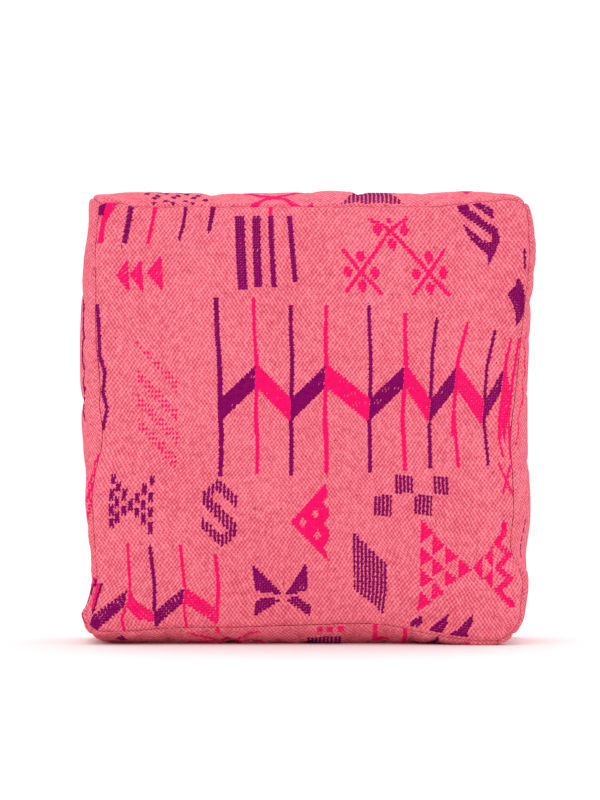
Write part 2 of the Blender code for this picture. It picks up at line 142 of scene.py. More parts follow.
FRONT_SEAM = {
    "left": ((-1, -1), (-0.9, 6), (-0.83, 1), (-0.75, -3), (-0.68, -1), (-0.5, 6), (-0.34, 9), (-0.2, 3),
             (-0.14, -1), (-0.05, -3), (0.06, 1), (0.15, 0), (0.35, 4), (0.6, 1), (0.8, -3), (1, -14)),
    "right": ((-1, -8), (-0.85, -3), (-0.7, 2), (-0.6, -9), (-0.4, -4), (-0.25, -4), (-0.08, -6),
              (0.1, 0), (0.35, 6), (0.5, 9), (0.7, 12), (1, 2)),
    "top": ((-1, -2), (-0.88, 0), (-0.8, -6), (-0.6, -4), (-0.4, 1), (-0.2, 3.5), (0, 4), (0.3, 4),
            (0.5, 2), (0.65, 4), (0.78, 5), (0.9, 5), (1, 1)),
    "bottom": ((-1, -8), (-0.8, -4), (-0.6, -4), (-0.3, -1), (0, -2.5), (0.4, -3.5), (0.55, 4), (0.7, 9),
               (0.85, 9), (1, 3)),
}
# The front seam as seen from the camera, for laying out the face's figures: (millimetres along the side,
# millimetres across it), both from the middle of the view.
SEEN_SEAMS = {
    "left": ((-318, -288), (-250, -282), (-206, -284), (-137, -285), (-80, -278), (-45, -275.5), (-14, -277),
             (29, -278), (92, -282), (155, -281), (207, -283), (273, -277)),
    "right": ((-330, 281), (-262, 292), (-199, 293), (-137, 296), (-95, 292.5), (-26, 290.5), (25, 297),
              (84, 303), (137, 308.5), (206, 314), (275, 310)),
    "top": ((-277, 273), (-232, 273), (-204, 268.5), (-169, 264.5), (-117, 262.5), (137, 262.5), (204, 268.5),
            (237, 271.5), (281, 275.5), (310, 275.5)),
    "bottom": ((-288, -318), (-236, -316), (-180, -310), (3, -309), (134, -308.5), (169, -314), (214, -322),
               (259, -330), (281, -330)),
}
CORNER_RADIUS = {(-1, 1): 0.014, (1, 1): 0.024, (-1, -1): 0.022, (1, -1): 0.043}


def at_share(table, share):
    """The smooth value, in metres, of one of those tables."""
    share = np.clip(share, -1, 1)
    at, height = np.array(table, float).T
    slope = np.gradient(height, at)
    n = np.clip(np.searchsorted(at, share, side="right") - 1, 0, len(at) - 2)
    wide = at[n + 1] - at[n]
    t = (share - at[n]) / wide
    value = (
        height[n] * (1 + 2 * t) * (1 - t) ** 2
        + slope[n] * wide * t * (1 - t) ** 2
        + height[n + 1] * t**2 * (3 - 2 * t)
        - slope[n + 1] * wide * t**2 * (1 - t)
    )
    return value / 1000


def side_shift(side, along, depth):
    """How far a side's edge moves out at a share along it and a share through the depth."""
    at_seam = ramp(-depth, 0.25, 1.0)
    return at_share(OUTLINE[side], along) * (1 - at_seam) * ramp(0.9 - depth, 0, 0.6) + at_share(
        FRONT_SEAM[side], along
    ) * at_seam


def round_corners(x, z):
    """The square's corners turned round, for points of it as much as for its edge."""
    out_x, out_z = x.copy(), z.copy()
    for (sx, sz), radius in CORNER_RADIUS.items():
        dx, dz = sx * x - (FACE_HALF - radius), sz * z - (FACE_HALF - radius)
        here = (dx > 0) & (dz > 0)
        reach = np.maximum(dx, dz)
        scale = np.where(here, reach / np.maximum(np.hypot(dx, dz), 1e-9), 1)
        out_x = np.where(here, sx * (FACE_HALF - radius + dx * scale), out_x)
        out_z = np.where(here, sz * (FACE_HALF - radius + dz * scale), out_z)
    return out_x, out_z


def stuffed(points):
    """The stuffed places of points in the straight box, the last axis being x, y, z."""
    points = np.asarray(points, float)
    x, z = round_corners(points[..., 0], points[..., 2])
    y = points[..., 1]
    u, s, v = x / FACE_HALF, y / DEPTH_HALF, z / FACE_HALF
    shift_x = np.where(u > 0, side_shift("right", v, s), side_shift("left", v, s))
    shift_z = np.where(v > 0, side_shift("top", u, s), side_shift("bottom", u, s))
    right, up = edge_reach(v, s) - FACE_HALF + shift_x, edge_reach(u, s) - FACE_HALF + shift_z
    new_x = x + np.sign(x) * right * eased(u)
    new_z = z + np.sign(z) * up * eased(v)
    front = y - crown(u, v, FACE_CROWN, FACE_POWER) * eased(s)
    back = y + np.minimum(crown(u, v, BACK_CROWN, BACK_POWER) * eased(s), BACK_FLAT)
    new_y = np.where(s < 0, front, back)
    new_z = np.maximum(new_z, z + FACE_HALF - FLOOR_FLAT)
    return np.stack((new_x, new_y + DEPTH_SHIFT, np.maximum(new_z + FLOOR_FLAT, 0)), -1)


def waves(along, seed, lengths):
    """An uneven line: a sum of waves of those lengths, in metres, from about -1 to 1."""
    total = np.zeros_like(along)
    for n, length in enumerate(lengths):
        phase = 2.4 * seed + 1.7 * n * n
        total += sin(phase + 1) * 0.35 * np.sin(2 * pi * along / length + phase)
        total += 0.55 * np.sin(2 * pi * along / (length * (1.13 + 0.07 * n)) + 2.1 * phase)
    return total / (0.75 * len(lengths))


# Panels of the cover.


class Side:
    """One side of the straight box: two directions along it, its outward one, and its half sizes."""

    def __init__(self, name, a, b, out, sign, number):
        self.name, self.number = name, number
        self.a, self.b, self.out = AXES[a], AXES[b], sign * AXES[out]
        size = {"X": FACE_HALF, "Y": DEPTH_HALF, "Z": FACE_HALF}
        self.half_a, self.half_b, self.half_out = size[a], size[b], size[out]

    def place(self, a, b, depth):
        a, b, depth = np.broadcast_arrays(a, b, depth)
        return a[..., None] * self.a + b[..., None] * self.b + (self.half_out - depth)[..., None] * self.out


SIDES = [
    Side("front", "X", "Z", "Y", -1, 0),
    Side("back", "X", "Z", "Y", 1, 1),
    Side("top", "X", "Y", "Z", 1, 2),
    Side("bottom", "X", "Y", "Z", -1, 3),
    Side("left", "Z", "Y", "X", -1, 4),
    Side("right", "Z", "Y", "X", 1, 5),
]
SIDE = {side.name: side for side in SIDES}


def runs_backwards(side):
    """Whether a grid over the side turns its faces inwards."""
    return np.dot(np.cross(side.a, side.b), side.out) < 0


def sim_lines(side):
    """The lines of the simulated cover's grid on a side."""
    across = SIM_FACE_CELLS if side.half_b == FACE_HALF else SIM_STRIP_CELLS
    lines_a = np.linspace(-side.half_a, side.half_a, SIM_FACE_CELLS + 1)
    return lines_a, np.linspace(-side.half_b, side.half_b, across + 1)


def without_growth(moved):
    """Movements less their smooth part, which the shape has already, but whole at the seams."""
    smooth = moved
    for axis in (0, 1, 0, 1):
        cells = smooth.shape[axis]
        reach = cells // 6
        pad = [(0, 0)] * 3
        pad[axis] = (reach, reach)
        wide = np.pad(smooth, pad, mode="edge")
        smooth = sum(np.take(wide, range(k, k + cells), axis) for k in range(2 * reach + 1)) / (2 * reach + 1)
    inner = [1 - np.abs(np.linspace(-1, 1, cells)) ** 8 for cells in moved.shape[:2]]
    return moved - smooth * (inner[0][:, None] * inner[1][None])[..., None]


def make_cloth(obj):
    """Cloth that is blown up from inside, without weight, and pinned along its seams."""
    cloth = obj.modifiers.new("cloth", "CLOTH").settings
    cloth.quality = 5
    cloth.mass = 0.4
    cloth.tension_stiffness = cloth.compression_stiffness = 12
    cloth.shear_stiffness = 6
    cloth.bending_stiffness = 0.35
    cloth.air_damping = 2
    cloth.use_pressure = True
    cloth.uniform_pressure_force = 4
    cloth.shrink_min = -0.018
    cloth.vertex_group_mass = "seams"
    cloth.effector_weights.gravity = 0


def settle():
    """Each side's grid of movements when the closed cover is blown up a little, as cloth with pressure."""
    straight, faces, grids, start = [], [], {}, 0
    for side in SIDES:
        a, b = np.meshgrid(*sim_lines(side), indexing="ij")
        grids[side.name] = np.arange(start, start + a.size).reshape(a.shape)
        straight.append(side.place(a, b, 0.0).reshape(-1, 3))
        g = grids[side.name]
        quads = np.stack((g[:-1, :-1], g[1:, :-1], g[1:, 1:], g[:-1, 1:]), -1).reshape(-1, 4)
        faces.append(quads[:, ::-1] if runs_backwards(side) else quads)
        start += a.size
    straight, faces = np.concatenate(straight), np.concatenate(faces)
    _, first, welded = np.unique(np.round(straight, 6), axis=0, return_index=True, return_inverse=True)
    welded = welded.reshape(-1)
    rest = straight[first]
    mesh = bpy.data.meshes.new("settling")
    began = stuffed(rest)
    mesh.from_pydata(began.tolist(), [], welded[faces].tolist())
    obj = bpy.data.objects.new("settling", mesh)
    bpy.context.scene.collection.objects.link(obj)
    at_edge = (np.abs(np.abs(rest) - (FACE_HALF, DEPTH_HALF, FACE_HALF)) < 1e-6).sum(1) > 1
    group = obj.vertex_groups.new(name="seams")
    group.add([int(n) for n in np.nonzero(at_edge)[0]], 1.0, "REPLACE")
    make_cloth(obj)
    scene = bpy.context.scene
    for number in range(1, SIM_FRAMES + 1):
        scene.frame_set(number)
    graph = bpy.context.evaluated_depsgraph_get()
    ended = np.empty(len(rest) * 3)
    obj.evaluated_get(graph).data.vertices.foreach_get("co", ended)
    scene.frame_set(1)
    bpy.data.objects.remove(obj)
    bpy.data.meshes.remove(mesh)
    moved = ended.reshape(-1, 3) - began
    length = np.linalg.norm(moved, axis=1, keepdims=True)
    moved *= SIM_LIMIT * np.tanh(length / SIM_LIMIT) / np.maximum(length, 1e-9)
    return {name: without_growth(moved[welded[grid]]) for name, grid in grids.items()}


def cubic(values, at, axis):
    """values read between their places along an axis, smoothly."""
    values = np.moveaxis(values, axis, 0)
    n = np.clip(np.floor(at).astype(int), 0, len(values) - 2)
    t = (at - n).reshape(-1, *[1] * (values.ndim - 1))
    p = [values[np.clip(n + k, 0, len(values) - 1)] for k in (-1, 0, 1, 2)]
    made = p[1] + 0.5 * t * (
        p[2] - p[0] + t * (2 * p[0] - 5 * p[1] + 4 * p[2] - p[3] + t * (3 * (p[1] - p[2]) + p[3] - p[0]))
    )
    return np.moveaxis(made, 0, axis)


MOVED = settle()


def fine_lines(low, high, at_low=True, at_high=True):
    """Grid lines from low to high, close together beside a seam."""
    start = [low + d for d in SEAM_LINES] if at_low else [low]
    end = [high - d for d in reversed(SEAM_LINES)] if at_high else [high]
    cells = int(np.ceil((end[0] - start[-1]) / CELL))
    return np.array(start + list(np.linspace(start[-1], end[0], cells + 1)[1:-1]) + end)


class Panel:
    """A cut piece of cloth on one side of the cover, as grids of points of its outer and inner face."""

    def __init__(self, name, side, cloth, low_b=None, high_b=None):
        self.name, self.side = name, side
        self.low_b = -side.half_b if low_b is None else low_b
        self.high_b = side.half_b if high_b is None else high_b
        self.seams_b = low_b is None, high_b is None
        self.lines_a = fine_lines(-side.half_a, side.half_a)
        self.lines_b = fine_lines(self.low_b, self.high_b, *self.seams_b)
        a, b = np.meshgrid(self.lines_a, self.lines_b, indexing="ij")
        self.outer = self.layer(a, b, 0.0)
        self.inner = self.layer(a, b, cloth)
        along_a, along_b = np.gradient(self.outer, axis=0), np.gradient(self.outer, axis=1)
        normals = np.cross(along_a, along_b)
        if runs_backwards(side):
            normals = -normals
        self.normals = normals / np.linalg.norm(normals, axis=-1, keepdims=True)
        self.across = along_a / np.linalg.norm(along_a, axis=-1, keepdims=True)
        threads_a, threads_b = (a + side.half_a) / PITCH, (b + side.half_b) / PITCH
        self.weave = np.stack((threads_a, threads_b, np.full_like(a, side.number)), -1)

    def layer(self, a, b, under):
        """The cloth's layer under its face: rolled in at its seams, puckered beside them and settled."""
        side = self.side
        to_a = side.half_a - np.abs(a)
        to_b = np.full_like(b, 1.0)
        if self.seams_b[0]:
            to_b = np.minimum(to_b, b - self.low_b)
        if self.seams_b[1]:
            to_b = np.minimum(to_b, self.high_b - b)

        def roll(distance, along, seed):
            tight = 1 + 0.35 * waves(along, seed, (0.021, 0.034, 0.062))
            return ROLL_DEPTH * tight * np.clip(1 - distance / ROLL_WIDTH, 0, 1) ** ROLL_POWER

        seed_a = side.number + 3 * (a > 0)
        seed_b = side.number + 7 + 3 * (b > 0)
        roll_a, roll_b = roll(to_a, b, 1.0), roll(to_b, a, 2.0)
        if side.half_b == DEPTH_HALF:
            roll_a *= STRIP_END_ROLL
        pucker = np.zeros_like(a)
        for distance, along, seed in ((to_a, b, seed_a), (to_b, a, seed_b)):
            for value in np.unique(seed):
                line = waves(along, float(value), (0.017, 0.026, 0.041, 0.075))
                fade = np.exp(-distance / 0.016) * np.clip(distance / 0.004, 0, 1)
                pucker += np.where(seed == value, 0.0011 * line * fade, 0)
        depth = np.maximum(roll_a, roll_b) + pucker
        moved_a = a - np.sign(a) * (roll_a + np.where(to_a < 1e-6, SEAM_GAP, 0) + under * edge_share(to_a))
        middle_b = (self.low_b + self.high_b) / 2
        moved_b = b - np.sign(b - middle_b) * (
            roll_b + np.where(to_b < 1e-6, SEAM_GAP, 0) + under * edge_share(to_b)
        )
        if not all(self.seams_b):
            shut = ramp(np.abs(a), *ZIP_END) * np.clip(1 - (np.abs(b) - ZIP_GAP_HALF) / ZIP_DRAWN, 0, 1)
            moved_b -= np.sign(b) * (ZIP_GAP_HALF - ZIP_SHUT) * shut
        made = stuffed(side.place(moved_a, moved_b, depth + under))
        lines = sim_lines(side)
        at = [np.interp(x, line, np.arange(len(line))) for x, line in zip((a[:, 0], b[0]), lines)]
        settled = cubic(cubic(MOVED[side.name], at[0], 0), at[1], 1)
        if side.name == "back":
            settled *= ramp(np.abs(b), *ZIP_STILL)[..., None]
        made = made + settled
        made[..., 2] = np.maximum(made[..., 2], under)
        return made

    def at(self, a, b):
        """Place, normal and cross direction of the outer face at distances along it."""
        fa = np.interp(a, self.lines_a, np.arange(len(self.lines_a)))
        fb = np.interp(b, self.lines_b, np.arange(len(self.lines_b)))
        ia = np.minimum(fa.astype(int), len(self.lines_a) - 2)
        ib = np.minimum(fb.astype(int), len(self.lines_b) - 2)
        ta, tb = (fa - ia)[:, None], (fb - ib)[:, None]

        def read(grid):
            low = grid[ia, ib] * (1 - ta) + grid[ia + 1, ib] * ta
            high = grid[ia, ib + 1] * (1 - ta) + grid[ia + 1, ib + 1] * ta
            return low * (1 - tb) + high * tb

        place, normal, across = read(self.outer), read(self.normals), read(self.across)
        normal /= np.linalg.norm(normal, axis=1, keepdims=True)
        across -= normal * (across * normal).sum(1, keepdims=True)
        return place, normal, across / np.linalg.norm(across, axis=1, keepdims=True)


def edge_share(distance):
    """1 at a panel's edge, where its inner face is drawn in as far as it lies under, and 0 away from it."""
    return np.clip(1 - distance / 0.012, 0, 1)


# Meshes.

CUSHION = bpy.data.collections.new("cushion_pieces")
bpy.context.scene.collection.children.link(CUSHION)


def new_piece(name, points, faces, material, weave=None):
    mesh = bpy.data.meshes.new(name)
    mesh.from_pydata(np.asarray(points).tolist(), [], faces if isinstance(faces, list) else faces.tolist())
    mesh.validate()
    mesh.shade_smooth()
    if weave is not None:
        layer = mesh.attributes.new("weave", "FLOAT_VECTOR", "POINT")
        layer.data.foreach_set("vector", np.asarray(weave, np.float32).ravel())
    mesh.materials.append(material)
    obj = bpy.data.objects.new(name, mesh)
    CUSHION.objects.link(obj)
    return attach(obj, "cushion")


def closed_sheet(name, outer, inner, flip, material, weave=None):
    """A closed mesh between two grids of points. flip turns its faces where the grid runs the other way."""
    rows, columns = outer.shape[:2]
    index = np.arange(rows * columns).reshape(rows, columns)
    quads = np.stack((index[:-1, :-1], index[1:, :-1], index[1:, 1:], index[:-1, 1:]), -1).reshape(-1, 4)
    ring = np.concatenate((index[:-1, 0], index[-1, :-1], index[:0:-1, -1], index[0, :0:-1]))
    other = np.roll(ring, -1)
    shift = rows * columns
    rim = np.stack((other, ring, ring + shift, other + shift), -1)
    faces = np.concatenate((quads, quads[:, ::-1] + shift, rim))
    if flip:
        faces = faces[:, ::-1]
    points = np.concatenate((outer.reshape(-1, 3), inner.reshape(-1, 3)))
    if weave is not None:
        weave = np.concatenate((weave.reshape(-1, 3), weave.reshape(-1, 3)))
    return new_piece(name, points, faces, material, weave=weave)


def tube(name, points, radius, material, closed=False, sides=6):
    """A round thread along points."""
    points = np.asarray(points, float)
    ahead = np.roll(points, -1, 0) - np.roll(points, 1, 0)
    if not closed:
        ahead[0], ahead[-1] = points[1] - points[0], points[-1] - points[-2]
    ahead /= np.linalg.norm(ahead, axis=1, keepdims=True)
    side = np.cross(ahead, (0.31, 0.17, 0.93))
    side /= np.linalg.norm(side, axis=1, keepdims=True)
    up = np.cross(ahead, side)
    turn = np.arange(sides) * 2 * pi / sides
    cosine, sine = np.cos(turn)[None, :, None], np.sin(turn)[None, :, None]
    rings = points[:, None] + radius * (cosine * side[:, None] + sine * up[:, None])
    count = len(points)
    index = np.arange(count * sides).reshape(count, sides)
    after = np.roll(index, -1, 0) if closed else index[1:]
    before = index if closed else index[:-1]
    faces = np.stack((before, np.roll(before, -1, 1), np.roll(after, -1, 1), after), -1)
    faces = faces.reshape(-1, 4).tolist()
    if not closed:
        faces += [index[0][::-1].tolist(), index[-1].tolist()]
    return new_piece(name, rings.reshape(-1, 3), faces, material)


# Materials.


def opaque(colour):
    """A colour as a shader's socket takes it, whether it is three numbers or another node's output."""
    return colour if isinstance(colour, bpy.types.NodeSocket) else (*colour, 1)


class Nodes:
    """A material's nodes, written as expressions."""

    def __init__(self, name):
        self.material = bpy.data.materials.new(name)
        self.material.use_nodes = True
        self.tree = self.material.node_tree
        self.shader = self.tree.nodes["Principled BSDF"]

    def put(self, target, value):
        if isinstance(value, bpy.types.NodeSocket):
            self.tree.links.new(value, target)
        else:
            target.default_value = value

    def node(self, kind, inputs=(), output=0, **settings):
        made = self.tree.nodes.new(f"ShaderNode{kind}")
        for key, value in settings.items():
            setattr(made, key, value)
        for key, value in dict(inputs).items():
            self.put(made.inputs[key], value)
        return made.outputs[output]

    def math(self, operation, *values, clamp=False):
        return self.node("Math", dict(enumerate(values)), operation=operation, use_clamp=clamp)

    def weave(self):
        """The place in the weave as a vector, and its threads along and across the panel."""
        place = self.node("Attribute", output="Vector", attribute_name="weave")
        split = self.tree.nodes.new("ShaderNodeSeparateXYZ")
        self.put(split.inputs[0], place)
        return place, split.outputs[0], split.outputs[1]

    def noise(self, vector, scale, detail=2.0, roughness=0.5):
        inputs = {"Vector": vector, "Scale": scale, "Detail": detail, "Roughness": roughness}
        return self.node("TexNoise", inputs, output="Fac")

    def object_place(self):
        return self.node("TexCoord", output="Object")

    def mix(self, share, low, high):
        made = self.tree.nodes.new("ShaderNodeMix")
        made.data_type = "RGBA"
        self.put(made.inputs[0], share)
        self.put(made.inputs[6], opaque(low))
        self.put(made.inputs[7], opaque(high))
        return made.outputs[2]

    def between(self, value, low, high, to_low=0.0, to_high=1.0):
        inputs = {0: value, 1: low, 2: high, 3: to_low, 4: to_high}
        return self.node("MapRange", inputs)

    def scaled(self, vector, size):
        return self.node("VectorMath", {0: vector, 1: size}, operation="MULTIPLY")

    def bump(self, height, distance, strength=1.0, normal=None):
        inputs = {"Height": height, "Distance": distance, "Strength": strength}
        if normal is not None:
            inputs["Normal"] = normal
        return self.node("Bump", inputs, output="Normal")

    def finish(self, colour, roughness, normal=None, **sockets):
        self.put(self.shader.inputs["Base Color"], opaque(colour))
        self.put(self.shader.inputs["Roughness"], roughness)
        if normal is not None:
            self.put(self.shader.inputs["Normal"], normal)
        for name, value in sockets.items():
            self.shader.inputs[name.replace("_", " ")].default_value = value
        return self.material


def grain_height(n, a, b, lean):
    """Height of a plain weave's grains, staggered from row to row, and each grain's own vector.

    The grains run together along one diagonal where lean is 1, and along the other where it is 0.
    """
    p, q = n.math("DIVIDE", a, GRAIN_PERIOD), n.math("DIVIDE", b, 2 * GRAIN_ROW)
    falling, rising = n.math("ADD", p, q), n.math("SUBTRACT", p, q)
    crests = [n.math("COSINE", n.math("MULTIPLY", phase, 2 * pi)) for phase in (rising, falling)]
    along = n.math("MULTIPLY", crests[0], n.math("SUBTRACT", 1.0, lean))
    both = n.math("ADD", along, n.math("MULTIPLY", crests[1], lean))
    cell = n.tree.nodes.new("ShaderNodeCombineXYZ")
    n.put(cell.inputs[0], n.math("ROUND", falling))
    n.put(cell.inputs[1], n.math("ROUND", rising))
    return n.between(both, -1.0, 1.0), cell.outputs[0]


def kilim_cloth(name, ground, shade):
    n = Nodes(name)
    place, a, b = n.weave()

    def drifting(threads, size, reach, detail=2.0):
        return n.math("ADD", threads, n.math("MULTIPLY", n.noise(n.scaled(place, size), 1.0, detail), reach))

    wavy_a = drifting(a, (0.11, 0.11, 3.7), 2.4, 3.0)
    wavy_b = drifting(b, (0.07, 0.13, 9.1), 1.8)
    wavy_a = drifting(wavy_a, (0.5, 0.6, 3.3), 1.3)
    wavy_b = drifting(wavy_b, (0.6, 0.5, 6.1), 1.1)
    lean = n.between(n.noise(n.scaled(place, (0.018, 0.018, 4.4)), 1.0, 1.0), 0.42, 0.60, 0.40, 0.60)
    height, cell = grain_height(n, wavy_a, wavy_b, lean)
    single = n.node("TexWhiteNoise", {"Vector": cell}, output="Value", noise_dimensions="3D")
    streak = n.noise(n.scaled(place, (0.02, 0.9, 5.3)), 1.0, 1.0)
    patch = n.noise(n.scaled(place, (0.025, 0.02, 2.3)), 1.0, 3.0)
    mottle = n.noise(n.scaled(place, (0.22, 0.3, 7.7)), 1.0, 3.0)
    # Painted highlight and shade: each grain's crest is painted towards the lighter colour and the hollows
    # between grains towards the darker one, from the same height that raises the relief. The white-noise,
    # streak, mottle and patch terms are the yarn's own random tone.
    tone = n.math("ADD", n.between(height, 0.0, 1.0, 0.0, 1.1), n.between(single, 0.0, 1.0, -0.20, 0.20))
    tone = n.math("ADD", tone, n.between(streak, 0.3, 0.7, -0.05, 0.05))
    tone = n.math("ADD", tone, n.between(mottle, 0.3, 0.7, -0.10, 0.10))
    tone = n.math("ADD", tone, n.between(patch, 0.3, 0.7, -0.07, 0.07), clamp=True)
    colour = n.mix(tone, shade, ground)
    slub = n.noise(n.scaled(place, (0.62, 0.44, 1.9)), 1.0, 1.0)
    fleck = n.between(slub, 0.70, 0.77)
    colour = n.mix(n.math("MULTIPLY", fleck, 0.8), colour, (0.20, 0.03, 0.02))
    lump = n.noise(n.scaled(place, (0.3, 0.3, 1.0)), 1.0, 2.0)
    relief = n.math("ADD", height, n.math("MULTIPLY", lump, 0.8))
    fuzz = n.noise(place, 3.1, 2.0)
    normal = n.bump(fuzz, 0.0002, 0.5, n.bump(relief, 0.0011, 0.9))
    return n.finish(colour, n.between(height, 0, 1, 0.95, 0.85), normal, Specular_IOR_Level=0.08)


def brocade_yarn(name, light, dark):
    n = Nodes(name)
    place = n.weave()[0]
    # Every float has one place, and rounding it to quarter threads gives all its corners one tone.
    quarters = {0: place, 1: (4.0, 4.0, 1.0), 2: (0.25, 0.25, 0.0)}
    cell = n.node("VectorMath", quarters, operation="MULTIPLY_ADD")
    cell = n.node("VectorMath", {0: cell}, operation="FLOOR")
    single = n.node("TexWhiteNoise", {"Vector": cell}, output="Value", noise_dimensions="3D")
    patch = n.noise(n.scaled(place, (0.08, 0.08, 2.0)), 1.0, 2.0)
    tone = n.math("ADD", n.math("MULTIPLY", single, 0.6), n.math("MULTIPLY", patch, 0.5), clamp=True)
    colour = n.mix(tone, dark, light)
    ply = n.node("TexWave", {"Vector": n.object_place(), "Scale": 420.0, "Distortion": 1.5}, output="Fac",
                 bands_direction="DIAGONAL")
    normal = n.bump(ply, 0.00015, 0.5)
    return n.finish(colour, 0.85, normal, Specular_IOR_Level=0.06)


def plain_cloth(name, light, dark, per_metre=900.0, roughness=0.85, relief=0.0003):
    """A fine plain weave on a piece with no thread grid of its own."""
    n = Nodes(name)
    place = n.object_place()
    split = n.tree.nodes.new("ShaderNodeSeparateXYZ")
    n.put(split.inputs[0], n.scaled(place, (per_metre,) * 3))
    threads = [n.math("SINE", n.math("MULTIPLY", split.outputs[k], 2 * pi)) for k in (0, 2)]
    height = n.math("MULTIPLY", threads[0], threads[1])
    patch = n.noise(place, 14.0, 3.0)
    fine = n.noise(place, 260.0, 2.0)
    tone = n.math("ADD", n.between(height, -1, 1, 0.2, 0.7), n.between(patch, 0.3, 0.7, -0.15, 0.15))
    tone = n.math("ADD", tone, n.between(fine, 0.3, 0.7, -0.15, 0.15), clamp=True)
    normal = n.bump(height, relief, 0.6)
    return n.finish(n.mix(tone, dark, light), roughness, normal, Sheen_Weight=0.2)


def spun_thread(name, light, dark):
    n = Nodes(name)
    place = n.object_place()
    twist = n.node("TexWave", {"Vector": place, "Scale": 330.0, "Distortion": 0.6}, output="Fac",
                   bands_direction="DIAGONAL")
    return n.finish(n.mix(twist, dark, light), 0.55, n.bump(twist, 0.0002, 0.6), Sheen_Weight=0.2)


def fibre_fill(name, light, dark, scale):
    n = Nodes(name)
    place = n.object_place()
    tangle = n.noise(place, scale, 5.0, 0.7)
    return n.finish(n.mix(n.between(tangle, 0.35, 0.65), dark, light), 0.95, n.bump(tangle, 0.002, 0.7),
                    Sheen_Weight=0.3)


def foam_cells(name, light, dark):
    n = Nodes(name)
    place = n.object_place()
    cells = n.node("TexVoronoi", {"Vector": place, "Scale": 650.0}, output="Distance")
    patch = n.noise(place, 20.0, 3.0)
    tone = n.math("ADD", n.math("MULTIPLY", cells, 0.7), n.math("MULTIPLY", patch, 0.4), clamp=True)
    return n.finish(n.mix(tone, dark, light), 0.95, n.bump(cells, 0.0006, 0.6))


def moulded_nylon(name, colour):
    n = Nodes(name)
    patch = n.noise(n.object_place(), 300.0, 2.0)
    shade = tuple(0.8 * c for c in colour)
    roughness = n.between(patch, 0, 1, 0.35, 0.5)
    return n.finish(n.mix(patch, shade, colour), roughness, n.bump(patch, 0.00005, 0.3))


def cast_metal(name, colour):
    n = Nodes(name)
    place = n.object_place()
    brush = n.noise(n.scaled(place, (60.0, 900.0, 900.0)), 1.0, 3.0)
    wear = n.noise(place, 180.0, 4.0, 0.6)
    worn = tuple(0.72 * c for c in colour)
    tone = n.between(wear, 0.35, 0.65)
    return n.finish(n.mix(tone, worn, colour), n.between(brush, 0.2, 0.8, 0.22, 0.42),
                    n.bump(brush, 0.00004, 0.5), Metallic=1.0)


# kilim_cloth's first colour is the ground painted lit, on the grains' crests; its second is the painted shade
# in the hollows between them.
KILIM_CLOTH = kilim_cloth("kilim_cloth", (1.0, 0.25, 0.315), (0.65, 0.058, 0.105))
PINK_YARN = brocade_yarn("pink_yarn", (0.95, 0.006, 0.15), (0.80, 0.003, 0.11))
PURPLE_YARN = brocade_yarn("purple_yarn", (0.27, 0.0005, 0.125), (0.17, 0.0005, 0.075))
CANVAS_CLOTH = plain_cloth("canvas_cloth", (0.80, 0.17, 0.22), (0.55, 0.08, 0.12), 620.0)
SEAM_THREAD = spun_thread("seam_thread", (0.80, 0.13, 0.20), (0.45, 0.04, 0.09))
STITCH_THREAD = spun_thread("stitch_thread", (0.86, 0.20, 0.27), (0.50, 0.06, 0.11))
CALICO = plain_cloth("calico", (0.80, 0.75, 0.65), (0.62, 0.57, 0.47), 1100.0)
WADDING = fibre_fill("wadding_fibre", (0.90, 0.90, 0.88), (0.66, 0.66, 0.64), 160.0)
FOAM = foam_cells("foam_cells", (0.84, 0.79, 0.58), (0.55, 0.49, 0.30))
TAPE_CLOTH = plain_cloth("tape_cloth", (0.66, 0.07, 0.13), (0.42, 0.03, 0.07), 1500.0)
COIL_NYLON = moulded_nylon("coil_nylon", (0.62, 0.05, 0.11))
ZIP_METAL = cast_metal("zip_metal", (0.66, 0.64, 0.60))


# Brocade: figures drawn on a panel's grid of threads.

PINK, PURPLE = "pink", "purple"


